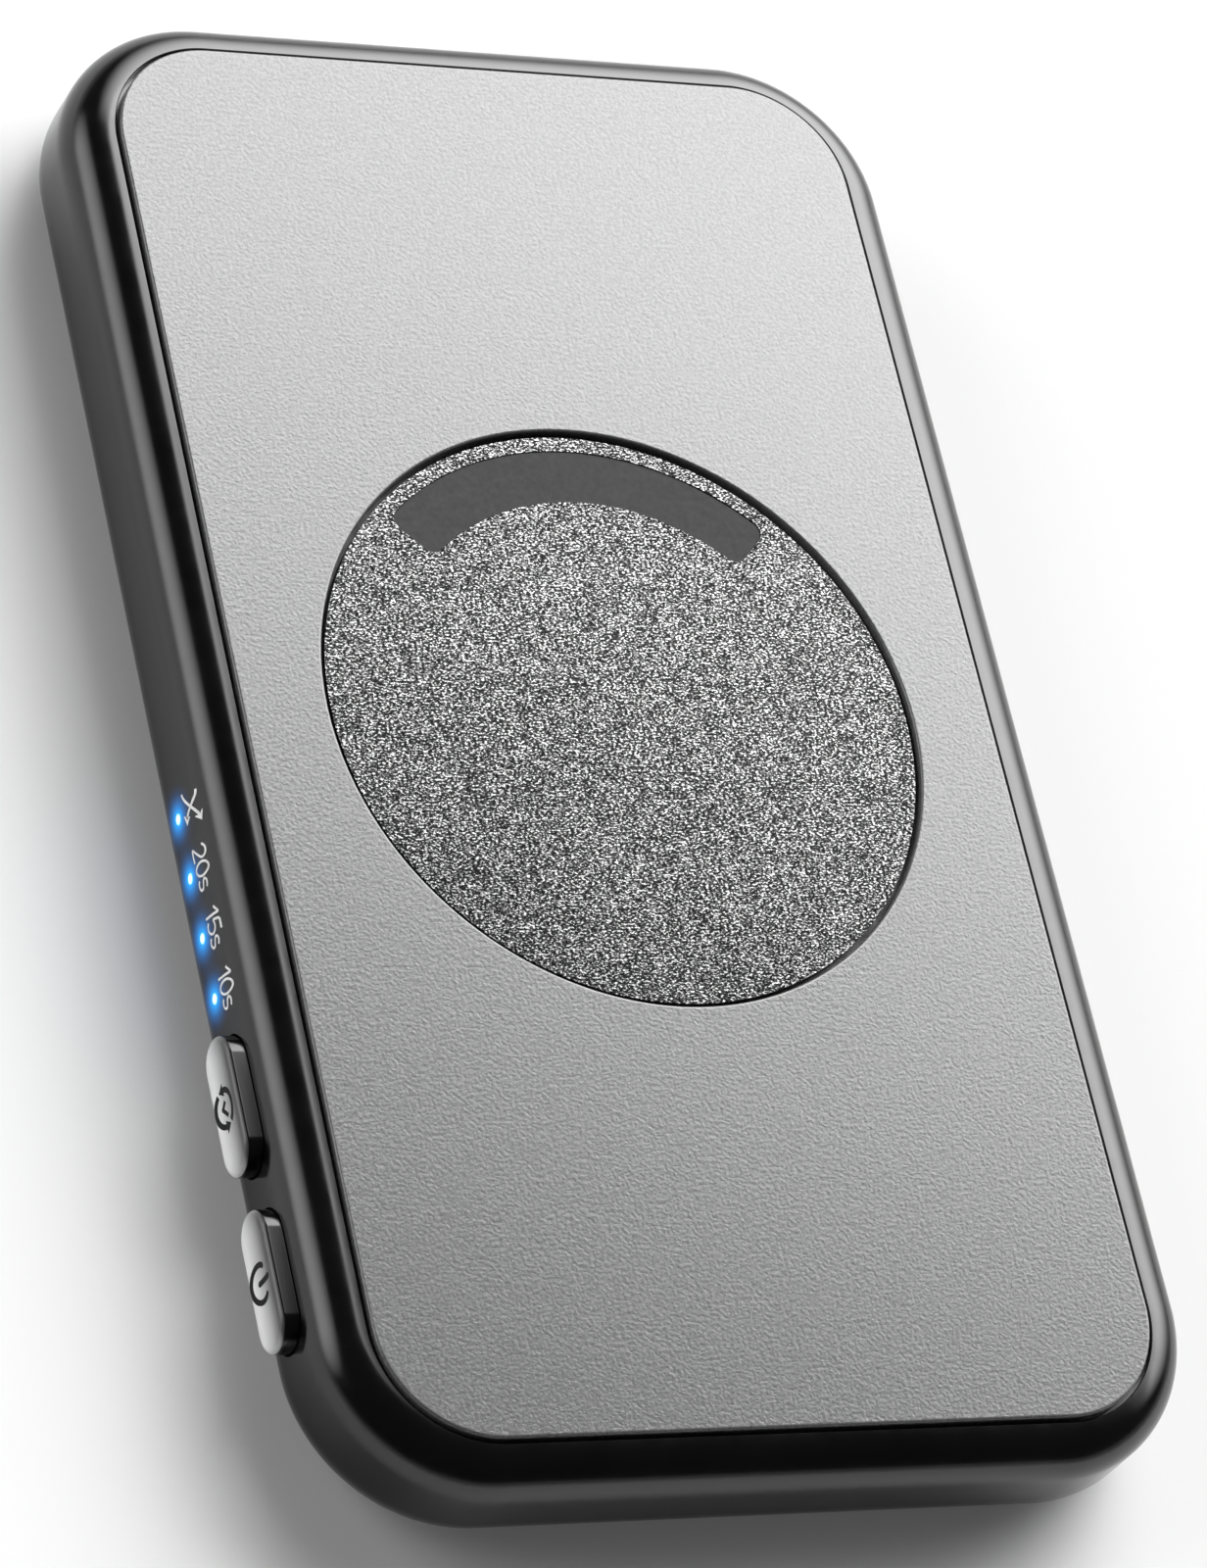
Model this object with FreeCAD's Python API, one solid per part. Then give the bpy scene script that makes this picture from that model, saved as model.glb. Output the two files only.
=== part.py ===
import FreeCAD, Part
import math
import os
from FreeCAD import Vector

# Desk mouse mover: a slim rounded case whose top panel frames a turntable that a computer mouse sits on.
# A worm-geared motor under the panel turns the table. Two side keys set the interval, four lights show it.
# Millimetres. +X right, +Y to the rear, +Z up. Origin on the turntable's axis, at desk level.

# ---- gaps shared by many pieces ----
seat_gap = 0.1            # between parts that drop into one another
bore_gap = 0.02           # radial, between a screw or washer and what it passes through
running_gap = 0.03        # radial, on every turning fit
screw_clearance = 0.15    # radial, in the hole under a screw's head
weld = 0.1                # how far joined shapes run into one another before they are fused
tiny = 1e-6

# ---- case ----
case_width = 74.8
case_length = 130.0
case_height = 10.8
case_corner = 13.4        # plan radius of the corners
edge_round = 3.6          # radius of the top and bottom edges
wall = 1.8
inner_round = 1.4         # fillet between the walls and the deck, inside
deck_thick = 1.2
deck_rib_depth = 1.3
rib_thick = 1.0
side_rim = 4.1            # from the case's side to the panel's side
end_rim = 3.7             # from the case's end to the panel's end

# ---- bottom cover ----
cover_thick = 1.4
lip_thick = 1.0           # locating lip that stands inside the case's wall
lip_height = 1.0
tower_from_side = 10.4
tower_from_end = 9.5
tower_diameter = 6.6
tower_height = 1.9
tower_ledge = 0.65        # plastic left under each cover screw's head
boss_diameter = 5.0
pin_seat = 0.5            # plastic left under each pressed-in pin

# ---- feet ----
foot_proud = 0.9
foot_sink = 0.5
foot_diameter = 10.0
foot_chamfer = 0.3

# ---- top panel ----
panel_corner = 9.2
panel_thick = 1.2
panel_proud = 0.35        # height of the panel above the case's rim
panel_gap = 0.3           # groove between panel and rim
panel_edge_round = 0.2
adhesive_thick = 0.1
adhesive_inset = 1.0

# ---- turntable ----
window_diameter = 52.0    # round opening in the panel
table_gap = 0.4           # radial, between the table and that opening
table_recess = 0.4        # depth of the table's face below the panel's face
sheet_thick = 0.3
flange_reach = 2.4        # step of the table that the panel holds down
flange_thick = 0.9
flange_play = 0.2
flange_clearance = 1.0    # radial, round the flange
table_rib_depth = 1.2
table_rib_count = 6
ring_back = 1.6           # ring gear's wall behind the roots of its teeth
hub_diameter = 8.0
axle_diameter = 3.0
axle_cap = 1.0            # plastic left above the axle's blind bore
axle_end_gap = 0.4
axle_chamfer = 0.25
axle_boss_height = 1.7
washer_thick = 0.3
washer_diameter = 7.4
inlay_margin = 1.3        # from the table's edge to the inlay
inlay_band = 4.7
inlay_half_angle = 44.2
inlay_corner = 1.1
inlay_recess = 0.08
inlay_gap = 0.05

# ---- gear train ----
gear_module = 0.6         # ring gear and pinion
ring_set_in = 8.2         # from the flange's edge to the ring gear's pitch circle
pinion_teeth = 12
gear_face = 2.0
gear_pressure_angle = 25.0
worm_module = 0.5         # worm and wheel
wheel_teeth = 30
wheel_face = 2.4
worm_pressure_angle = 20.0
worm_pitch_radius = 2.0
worm_length = 8.0         # threaded length
worm_collar = 0.8         # plain end on each side of the thread
tooth_backlash = 0.1      # taken off each tooth's thickness at the pitch circle
mesh_gap = 0.05           # added to each pair's centre distance
addendum = 0.8            # in modules
dedendum = 1.05           # in modules
reduction_pin_diameter = 2.0
reduction_post_diameter = 4.0

# ---- motor ----
motor_width = 10.0
motor_height = 8.0        # across the flats
motor_length = 12.0
motor_stand_off = 4.2     # from the worm's collar to the motor's face
motor_lift = 0.1          # above the floor
end_cap_length = 2.2
end_cap_step = 0.3
nose_diameter = 4.0
nose_length = 1.2
shaft_diameter = 1.5
shaft_stub = 0.4          # beyond the worm's far collar
shaft_reach = 3.0         # inside the motor
shaft_end_gap = 0.2
terminal_offset = 1.2
terminal_height = 1.7
terminal_width = 1.0
terminal_thick = 0.25
terminal_reach = 1.0
strap_thick = 0.25
strap_width = 3.0
strap_from_face = 4.8
strap_post_diameter = 4.2
stop_width = 2.5
stop_height = 3.6
window_margin = 1.0       # round the motor and its strap, in the deck

# ---- side keys ----
key_length = 11.4
key_width = 4.5
key_gap = 0.15
key_proud = 1.5
key_edge_round = 0.45
key_flange_thick = 0.8
key_flange_margin = 0.55
key_travel = 0.3
key_drop = 5.5            # key centre line below the panel's face
first_key_from_front = 13.35
key_spacing = 3.0         # between the two keys

# ---- lights ----
light_count = 4
light_pitch = 5.14
light_from_key = 3.85     # from the timer key's end to the first light
light_drop = 6.5          # light centre line below the panel's face
light_hole = 1.0
pip_gap = 0.05
guide_depth = 1.8
guide_height = 1.8
guide_overhang = 1.6      # beyond the first and last light
led_depth = 1.2
led_width = 1.8
led_height = 0.9
led_from_edge = 0.05

# ---- main board ----
board_thick = 1.0
board_corner = 1.0
board_from_wall = 2.0
board_from_wheel = 4.5
board_end_margin = 5.4    # beyond the power key's centre and beyond the last light
switch_length = 6.0
switch_depth = 3.0
switch_height = 3.1
switch_set_back = 0.2
switch_well = 1.5
stem_length = 2.6
stem_height = 1.3
stem_gap = 0.05
stem_tip_round = 0.2
stem_end_gap = 0.15
chip_length = 6.6
chip_width = 4.0
chip_height = 1.4
chip_pin_count = 5
chip_pin_pitch = 1.27
chip_pin_reach = 1.1
chip_pin_width = 0.4
chip_pin_height = 0.3
chip_stand_off = 0.1
driver_size = 3.0
driver_height = 1.1
passive_count = 6
passive_pitch = 2.2
passive_length = 1.6
passive_width = 0.8
passive_height = 0.5

# ---- charging board ----
usb_width = 8.94
usb_height = 3.26
usb_depth = 7.3
usb_shell = 0.3
usb_inset = 0.7           # socket's mouth behind the case's outer face
usb_opening_gap = 0.25
usb_base_depth = 1.6
usb_tongue_width = 6.6
usb_tongue_thick = 0.7
usb_tongue_set_back = 0.9
usb_board_width = 22.0
usb_board_depth = 13.0
usb_board_thick = 0.8
usb_board_corner = 0.8
usb_board_from_wall = 0.4
charge_chip_width = 3.0
charge_chip_depth = 2.8
charge_chip_height = 1.2

# ---- battery ----
battery_width = 44.0
battery_thick = 4.8
battery_round = 1.2
terrace_length = 3.0
terrace_thick = 1.0
terrace_height = 1.7
bay_gap = 2.0
fence_height = 2.4
fence_short = 6.0         # from the cell's end to the fence's end
tape_thick = 0.15
tape_inset = 5.0

# ---- screws ----
cover_shank = 1.9
cover_head = 3.8
cover_head_height = 1.3
cover_screw_end_gap = 1.6
small_shank = 1.6
small_head = 3.0
small_head_height = 1.0
small_screw_from_edge = 3.4
head_chamfer = 0.4

# ---- sockets and leads ----
socket_length = 4.4       # two-way wire sockets on the boards
socket_width = 5.0
socket_height = 2.6
socket_wall = 0.6
socket_from_edge = 0.6
wire_diameter = 0.7
wire_pitch = 1.2          # between the two wires of a pair
lead_clearance = 2.6      # from a pair's middle to the post or cell that it goes round
lead_ramp = 8.0           # straight stretch out of a socket
bend_share = 0.45         # of the shorter run beside it, on each side of a bend

# ---- levels, worked out from the sizes above ----
case_bottom = foot_proud
case_top = case_bottom + case_height
panel_top = case_top + panel_proud
panel_bottom = panel_top - panel_thick
deck_top = panel_bottom - adhesive_thick
deck_bottom = deck_top - deck_thick
floor = case_bottom + cover_thick
tower_top = floor + tower_height
pin_bottom = case_bottom + pin_seat

sheet_top = panel_top - table_recess
sheet_bottom = sheet_top - sheet_thick
flange_top = panel_bottom - flange_play
flange_bottom = flange_top - flange_thick
gear_bottom = flange_bottom - gear_face
axle_boss_top = floor + axle_boss_height
washer_top = axle_boss_top + washer_thick
hub_bottom = washer_top + inlay_gap

motor_bottom = floor + motor_lift
motor_top = motor_bottom + motor_height
worm_z = motor_bottom + motor_height / 2
wheel_bottom = worm_z - wheel_face / 2
wheel_top = worm_z + wheel_face / 2
terminal_z = worm_z + terminal_height

key_z = panel_top - key_drop
light_z = panel_top - light_drop
board_top = light_z - led_height / 2
board_bottom = board_top - board_thick
usb_z = case_bottom + case_height / 2
usb_board_top = usb_z - usb_height / 2
usb_board_bottom = usb_board_top - usb_board_thick
battery_bottom = floor + tape_thick
terrace_z = battery_bottom + terrace_height

# ---- places in plan, worked out from the sizes above ----
half_width = case_width / 2
half_length = case_length / 2
inner_wall_x = -half_width + wall
panel_width = case_width - 2 * side_rim
panel_length = case_length - 2 * end_rim

table_radius = window_diameter / 2 - table_gap
flange_radius = table_radius + flange_reach
deck_opening_radius = flange_radius + flange_clearance
inlay_outer_radius = table_radius - inlay_margin
inlay_inner_radius = inlay_outer_radius - inlay_band

table_teeth = round(2 * (flange_radius - ring_set_in) / gear_module)
table_pitch_radius = gear_module * table_teeth / 2
pinion_pitch_radius = gear_module * pinion_teeth / 2
wheel_pitch_radius = worm_module * wheel_teeth / 2
reduction_y = -(table_pitch_radius + pinion_pitch_radius + mesh_gap)
worm_y = reduction_y - (wheel_pitch_radius + worm_pitch_radius + mesh_gap)
worm_half = worm_length / 2 + worm_collar
motor_face_x = worm_half + motor_stand_off
motor_back_x = motor_face_x + motor_length
strap_x = motor_face_x + strap_from_face
strap_post_offset = motor_width / 2 + strap_thick + strap_post_diameter / 2
strap_post_ys = [worm_y + side * strap_post_offset for side in (-1, 1)]

power_key_y = -half_length + first_key_from_front + key_length / 2
timer_key_y = power_key_y + key_length + key_spacing
first_light_y = timer_key_y + key_length / 2 + light_from_key
light_ys = [first_light_y + light_pitch * i for i in range(light_count)]
key_back_x = inner_wall_x + seat_gap / 2 + key_flange_thick

board_left = inner_wall_x + board_from_wall
board_right = -(wheel_pitch_radius + board_from_wheel)
board_front = power_key_y - board_end_margin
board_rear = light_ys[-1] + board_end_margin
board_middle_x = (board_left + board_right) / 2
switch_face_x = board_left + switch_set_back

usb_board_rear = half_length - wall - usb_board_from_wall
usb_board_front = usb_board_rear - usb_board_depth
usb_mouth_y = half_length - usb_inset
usb_back_y = usb_mouth_y - usb_depth
battery_front = table_pitch_radius + 2 * bay_gap
battery_rear = usb_board_front - bay_gap
battery_middle_y = (battery_front + battery_rear) / 2

tower_spots = [
    (sx * (half_width - tower_from_side), sy * (half_length - tower_from_end))
    for sx in (-1, 1)
    for sy in (-1, 1)
]
board_screw_spots = [
    (board_right - small_screw_from_edge, board_rear - small_screw_from_edge),
    (board_right - small_screw_from_edge, board_front + small_screw_from_edge),
    (switch_face_x + switch_depth + small_head, (power_key_y + timer_key_y) / 2),
]
usb_screw_spots = [
    (sx * (usb_board_width / 2 - small_head), usb_board_front + small_head)
    for sx in (-1, 1)
]

socket_set_in = socket_length / 2 + socket_from_edge
motor_socket = Vector(board_right - socket_set_in, (power_key_y + timer_key_y) / 2, board_top)
power_socket = Vector(board_left + small_head + socket_width, board_rear - socket_set_in, board_top)
charge_socket = Vector(-usb_board_width / 2 + socket_length / 2, usb_board_rear - socket_width, usb_board_top)
battery_socket = Vector(-charge_socket.x, charge_socket.y, charge_socket.z)
wire_height = socket_height / 2      # above the board that carries the socket
wire_stop = socket_length / 2 - socket_wall      # from a socket's middle to where its wires end


# ---- shapes used by many parts ----
def cylinder(x, y, z0, z1, diameter):
    return Part.makeCylinder(diameter / 2, z1 - z0, Vector(x, y, z0))


def rod_x(y, z, x0, x1, diameter):
    return Part.makeCylinder(diameter / 2, x1 - x0, Vector(x0, y, z), Vector(1, 0, 0))


def block(x0, x1, y0, y1, z0, z1):
    return Part.makeBox(x1 - x0, y1 - y0, z1 - z0, Vector(x0, y0, z0))


def block_at(x, y, length_x, length_y, z0, z1):
    """Block centred on a place in plan."""
    return block(x - length_x / 2, x + length_x / 2, y - length_y / 2, y + length_y / 2, z0, z1)


def fuse_all(shapes):
    return shapes[0].multiFuse(shapes[1:]).removeSplitter()


def cut_all(shape, tools):
    return shape.cut(Part.makeCompound(tools)).removeSplitter()


def edges_where(shape, low, high, value):
    """Edges whose box runs from value to value between two of its limits, such as ZMin and ZMax."""
    found = []
    for edge in shape.Edges:
        box = edge.BoundBox
        if abs(getattr(box, low) - value) < tiny and abs(getattr(box, high) - value) < tiny:
            found.append(edge)
    return found


def level_edges(shape, z):
    return edges_where(shape, "ZMin", "ZMax", z)


def edges_facing_out(shape, x):
    return edges_where(shape, "XMin", "XMax", x)


def arc(centre, radius, start, end):
    """Circular arc in the XY plane, angles in degrees, anticlockwise."""
    points = []
    for degrees in (start, (start + end) / 2, end):
        angle = math.radians(degrees)
        points.append(centre + Vector(radius * math.cos(angle), radius * math.sin(angle), 0))
    return Part.Arc(*points).toShape()


def rounded_outline(width, length, radius, z):
    """Closed wire of a rectangle with round corners, centred on the axis."""
    arcs = []
    for sx, sy, start in ((1, 1, 0), (-1, 1, 90), (-1, -1, 180), (1, -1, 270)):
        centre = Vector(sx * (width / 2 - radius), sy * (length / 2 - radius), z)
        arcs.append(arc(centre, radius, start, start + 90))
    edges = []
    for i, corner in enumerate(arcs):
        following = arcs[(i + 1) % len(arcs)]
        edges.append(corner)
        edges.append(Part.makeLine(corner.Vertexes[-1].Point, following.Vertexes[0].Point))
    return Part.Wire(edges)


def plate(width, length, radius, z0, z1):
    outline = rounded_outline(width, length, radius, z0)
    return Part.Face(outline).extrude(Vector(0, 0, z1 - z0))


def plate_at(x, y, width, length, radius, z0, z1):
    moved = plate(width, length, radius, z0, z1)
    moved.translate(Vector(x, y, 0))
    return moved


def stadium_x(y, z, length, width, x0, x1):
    """Bar along X whose section is a slot shape: length along Y, width along Z."""
    reach = (length - width) / 2
    radius = width / 2
    rear_low = Vector(x0, y + reach, z - radius)
    rear_high = Vector(x0, y + reach, z + radius)
    front_high = Vector(x0, y - reach, z + radius)
    front_low = Vector(x0, y - reach, z - radius)
    outline = Part.Wire([
        Part.Arc(rear_low, Vector(x0, y + reach + radius, z), rear_high).toShape(),
        Part.makeLine(rear_high, front_high),
        Part.Arc(front_high, Vector(x0, y - reach - radius, z), front_low).toShape(),
        Part.makeLine(front_low, rear_low),
    ])
    return Part.Face(outline).extrude(Vector(x1 - x0, 0, 0))


def stadium_y(x, z, length, width, y0, y1):
    """Bar along Y whose section is a slot shape: length along X, width along Z."""
    bar = stadium_x(0, 0, length, width, y0, y1)
    bar.rotate(Vector(0, 0, 0), Vector(0, 0, 1), 90)
    bar.translate(Vector(x, 0, z))
    return bar


def screw(x, y, seat, tip, shank, head, head_height):
    """Plain screw. The head stands on the side of its seat that is away from the tip."""
    away = math.copysign(head_height, seat - tip)
    body = cylinder(x, y, min(seat, tip), max(seat, tip), shank)
    cap = cylinder(x, y, min(seat, seat + away), max(seat, seat + away), head)
    cap = cap.makeChamfer(head_chamfer, level_edges(cap, seat + away))
    return fuse_all([body, cap])


def small_screw(x, y, seat, tip):
    return screw(x, y, seat, tip, small_shank, small_head, small_head_height)


# ---- case, cover and feet ----
def case_form(inset, z0, z1, top_round, bottom_round):
    """Case-shaped solid, its sides moved in by inset."""
    form = plate(case_width - 2 * inset, case_length - 2 * inset, case_corner - inset, z0, z1)
    if bottom_round:
        form = form.makeFillet(bottom_round, level_edges(form, z0))
    if top_round:
        form = form.makeFillet(top_round, level_edges(form, z1))
    return form


def whole_case():
    return case_form(0, case_bottom, case_top, edge_round, edge_round)


def motor_window(z0, z1):
    """Opening over the motor and its strap."""
    half = strap_post_offset + strap_post_diameter / 2 + window_margin
    return block(
        motor_face_x - window_margin, motor_back_x + window_margin, worm_y - half, worm_y + half, z0, z1
    )


def key_pocket(y):
    """Way through the wall for a key, and room behind the wall for its flange."""
    grown = 2 * (key_flange_margin + key_gap)
    through = stadium_x(
        y, key_z, key_length + 2 * key_gap, key_width + 2 * key_gap, -half_width - weld, inner_wall_x + weld
    )
    behind = stadium_x(
        y, key_z, key_length + grown, key_width + grown, inner_wall_x, inner_wall_x + 2 * inner_round
    )
    return [through, behind]


def deck_ribs():
    """Ring round the table's opening, cross ribs, and the two ribs that hold the light guide."""
    low = deck_bottom - deck_rib_depth
    inside = case_width - 2 * wall
    ribs = [cylinder(0, 0, low, deck_bottom, 2 * (deck_opening_radius + rib_thick))]
    for y in (board_front - rib_thick, battery_rear + rib_thick):
        ribs.append(block_at(0, y, inside, rib_thick, low, deck_bottom))
    guide_reach = guide_overhang + seat_gap + rib_thick / 2
    for y in (light_ys[0] - guide_reach, light_ys[-1] + guide_reach):
        x = inner_wall_x + guide_depth / 2
        ribs.append(block_at(x, y, guide_depth + weld, rib_thick, light_z - guide_height / 2, deck_bottom))
    return ribs


def make_upper_case():
    shell = whole_case().cut(block(-case_width, case_width, -case_length, case_length, 0, floor))
    shell = shell.cut(case_form(wall, floor - weld, deck_bottom, inner_round, 0))
    groove = 2 * panel_gap
    recess = plate(
        panel_width + groove, panel_length + groove, panel_corner + panel_gap, deck_top, case_top + weld
    )
    shell = shell.cut(recess)
    bosses = [cylinder(x, y, tower_top, deck_bottom, boss_diameter) for x, y in tower_spots]
    shell = shell.multiFuse(deck_ribs() + bosses)

    cuts = [
        cylinder(0, 0, deck_bottom - 2 * deck_rib_depth, case_top, 2 * deck_opening_radius),
        motor_window(deck_bottom - 2 * deck_rib_depth, case_top),
        stadium_y(
            0, usb_z, usb_width + 2 * usb_opening_gap, usb_height + 2 * usb_opening_gap,
            half_length - wall - weld, half_length + weld
        ),
    ]
    for x, y in tower_spots:
        pilot_top = deck_bottom - cover_screw_end_gap / 2
        cuts.append(cylinder(x, y, tower_top - weld, pilot_top, cover_shank + 2 * bore_gap))
    for y in (power_key_y, timer_key_y):
        cuts.extend(key_pocket(y))
    for y in light_ys:
        cuts.append(rod_x(y, light_z, -half_width - weld, inner_wall_x + weld, light_hole))
    return cut_all(shell, cuts)


def cover_lip():
    """Low wall that stands just inside the case's wall."""
    inset = wall + seat_gap
    lip = case_form(inset, floor, floor + lip_height, 0, 0)
    return lip.cut(case_form(inset + lip_thick, floor - weld, floor + lip_height + weld, 0, 0))


def axle_gussets():
    gussets = []
    for angle in range(45, 405, 90):
        gusset = block(0, hub_diameter, -rib_thick / 2, rib_thick / 2, floor, floor + axle_boss_height / 2)
        gusset.rotate(Vector(0, 0, 0), Vector(0, 0, 1), angle)
        gussets.append(gusset)
    return gussets


def motor_cradle():
    """Two screw posts for the strap, and two stops behind the motor."""
    posts = [cylinder(strap_x, y, floor, worm_z - strap_thick, strap_post_diameter) for y in strap_post_ys]
    x = motor_back_x + seat_gap + rib_thick / 2
    stops = []
    for side in (-1, 1):
        y = worm_y + side * (motor_width - stop_width) / 2
        stops.append(block_at(x, y, rib_thick, stop_width, floor, floor + stop_height))
    return posts + stops


def battery_fences():
    """Low walls in front of the cell and at both its sides."""
    top = floor + fence_height
    side_x = (battery_width + bay_gap) / 2
    front = block_at(0, battery_front - bay_gap / 2, battery_width / 2, rib_thick, floor, top)
    length = battery_rear - battery_front - 2 * fence_short
    sides = [block_at(x, battery_middle_y, rib_thick, length, floor, top) for x in (-side_x, side_x)]
    return [front] + sides


def make_bottom_cover():
    tray = whole_case().common(block(-case_width, case_width, -case_length, case_length, 0, floor))
    additions = [cover_lip(), cylinder(0, 0, floor, axle_boss_top, hub_diameter)]
    additions.append(cylinder(0, reduction_y, floor, wheel_bottom - seat_gap, reduction_post_diameter))
    additions += axle_gussets() + motor_cradle() + battery_fences()
    additions += [cylinder(x, y, floor, tower_top, tower_diameter) for x, y in tower_spots]
    additions += [cylinder(x, y, floor, board_bottom, boss_diameter) for x, y in board_screw_spots]
    additions += [cylinder(x, y, floor, usb_board_bottom, boss_diameter) for x, y in usb_screw_spots]
    tray = tray.multiFuse(additions)

    pilot = small_shank + 2 * bore_gap
    cuts = [
        cylinder(0, 0, pin_bottom, axle_boss_top + weld, axle_diameter),
        cylinder(0, reduction_y, pin_bottom, wheel_bottom, reduction_pin_diameter),
    ]
    for x, y in tower_spots:
        cuts.append(cylinder(x, y, 0, case_bottom + foot_sink, foot_diameter + 2 * seat_gap))
        cuts.append(cylinder(x, y, 0, tower_top - tower_ledge, cover_head + 2 * screw_clearance))
        cuts.append(cylinder(x, y, 0, tower_top + weld, cover_shank + 2 * screw_clearance))
    for x, y in board_screw_spots + usb_screw_spots:
        cuts.append(cylinder(x, y, floor, board_top, pilot))
    for y in strap_post_ys:
        cuts.append(cylinder(strap_x, y, floor, worm_z, pilot))
    return cut_all(tray, cuts)


def make_foot(x, y):
    foot = cylinder(x, y, 0, case_bottom + foot_sink, foot_diameter)
    return foot.makeChamfer(foot_chamfer, level_edges(foot, 0))


def make_cover_screws():
    seat = tower_top - tower_ledge
    tip = deck_bottom - cover_screw_end_gap
    return [screw(x, y, seat, tip, cover_shank, cover_head, cover_head_height) for x, y in tower_spots]


# ---- top panel ----
def make_top_panel():
    panel = plate(panel_width, panel_length, panel_corner, panel_bottom, panel_top)
    panel = panel.cut(cylinder(0, 0, panel_bottom - weld, panel_top + weld, window_diameter))
    return panel.makeFillet(panel_edge_round, level_edges(panel, panel_top))


def make_panel_adhesive():
    inset = 2 * adhesive_inset
    sheet = plate(
        panel_width - inset, panel_length - inset, panel_corner - adhesive_inset, deck_top, panel_bottom
    )
    opening = cylinder(0, 0, deck_top - weld, panel_bottom + weld, 2 * deck_opening_radius + adhesive_inset)
    return cut_all(sheet, [opening, motor_window(deck_top - weld, panel_bottom + weld)])


# ---- gears ----
def involute_angle(radius, base_radius):
    """Polar angle, in radians, that an involute has swept at a radius."""
    if radius <= base_radius:
        return 0.0
    turned = math.sqrt((radius / base_radius) ** 2 - 1)
    return turned - math.atan(turned)


def gear_outline(module, teeth, pressure_angle, z, first_tooth):
    """Closed wire of an involute gear. first_tooth is the direction of one tooth's centre, in degrees."""
    pitch_radius = module * teeth / 2
    base_radius = pitch_radius * math.cos(math.radians(pressure_angle))
    tip_radius = pitch_radius + addendum * module
    root_radius = pitch_radius - dedendum * module
    flank_start = max(root_radius, base_radius)
    middle_radius = (flank_start + tip_radius) / 2
    half_at_pitch = (math.pi * module / 2 - tooth_backlash) / 2 / pitch_radius
    step = 2 * math.pi / teeth

    def half_angle(radius):
        swept = involute_angle(radius, base_radius) - involute_angle(pitch_radius, base_radius)
        return half_at_pitch - swept

    def point(radius, angle):
        return Vector(radius * math.cos(angle), radius * math.sin(angle), z)

    edges = []
    for i in range(teeth):
        centre = math.radians(first_tooth) + i * step
        rising = [point(r, centre - half_angle(r)) for r in (flank_start, middle_radius, tip_radius)]
        falling = [point(r, centre + half_angle(r)) for r in (tip_radius, middle_radius, flank_start)]
        root_half = half_angle(flank_start)
        root_before = point(root_radius, centre - step + root_half)
        root_in = point(root_radius, centre - root_half)
        root_out = point(root_radius, centre + root_half)
        edges.append(Part.Arc(root_before, point(root_radius, centre - step / 2), root_in).toShape())
        if flank_start - root_radius > tiny:
            edges.append(Part.makeLine(root_in, rising[0]))
        edges.append(Part.Arc(*rising).toShape())
        edges.append(Part.Arc(rising[-1], point(tip_radius, centre), falling[0]).toShape())
        edges.append(Part.Arc(*falling).toShape())
        if flank_start - root_radius > tiny:
            edges.append(Part.makeLine(falling[-1], root_out))
    return Part.Wire(edges)


def spur_gear(teeth, z0, z1, first_tooth):
    outline = gear_outline(gear_module, teeth, gear_pressure_angle, z0, first_tooth)
    return Part.Face(outline).extrude(Vector(0, 0, z1 - z0))


def make_worm_wheel():
    """Helical wheel whose tooth space faces the worm at mid height."""
    lead_angle = math.atan2(worm_module, 2 * worm_pitch_radius)
    half_turn = math.degrees(wheel_face / 2 * math.tan(lead_angle) / wheel_pitch_radius)
    space_forward = -90 + 180 / wheel_teeth
    ends = []
    for z, turn in ((wheel_bottom, -half_turn), (wheel_top, half_turn)):
        ends.append(gear_outline(worm_module, wheel_teeth, worm_pressure_angle, z, space_forward + turn))
    return Part.makeLoft(ends, True, True)


def make_reduction_gear():
    """Worm wheel and pinion in one moulding, on its own pin."""
    top = flange_bottom - seat_gap
    pinion = spur_gear(pinion_teeth, wheel_top, top, 90 + 180 / pinion_teeth)
    gear = fuse_all([make_worm_wheel(), pinion])
    gear = gear.cut(cylinder(0, 0, wheel_bottom - weld, top + weld, reduction_pin_diameter + 2 * running_gap))
    gear.translate(Vector(0, reduction_y, 0))
    return gear


def make_worm():
    """Single-start right-hand worm along X, with a crest facing the wheel at its middle."""
    pitch = math.pi * worm_module
    tip = worm_pitch_radius + addendum * worm_module
    root = worm_pitch_radius - dedendum * worm_module
    half_at_pitch = (pitch / 2 - tooth_backlash) / 2
    slope = math.tan(math.radians(worm_pressure_angle))
    half_tip = half_at_pitch - (tip - worm_pitch_radius) * slope
    half_root = half_at_pitch + (worm_pitch_radius - root + weld) * slope
    height = pitch * (math.ceil(worm_length / pitch) + 2)
    start = -height / 2
    profile = Part.makePolygon([
        Vector(root - weld, 0, start - half_root),
        Vector(tip, 0, start - half_tip),
        Vector(tip, 0, start + half_tip),
        Vector(root - weld, 0, start + half_root),
        Vector(root - weld, 0, start - half_root),
    ])
    helix = Part.makeHelix(pitch, height, worm_pitch_radius)
    helix.translate(Vector(0, 0, start))
    thread = Part.Wire(helix.Edges).makePipeShell([profile], True, True)
    thread = thread.common(Part.makeCylinder(2 * tip, worm_length, Vector(0, 0, -worm_length / 2)))
    core = Part.makeCylinder(root, 2 * worm_half, Vector(0, 0, -worm_half))
    core = core.cut(Part.makeCylinder(shaft_diameter / 2, 2 * worm_half, Vector(0, 0, -worm_half)))
    worm = fuse_all([core, thread])
    # The profile starts on the +X side. This turn lays +Z along +X and brings that side round to +Y.
    worm.rotate(Vector(0, 0, 0), Vector(1, 1, 1), 120)
    worm.translate(Vector(0, worm_y, worm_z))
    return worm


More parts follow.
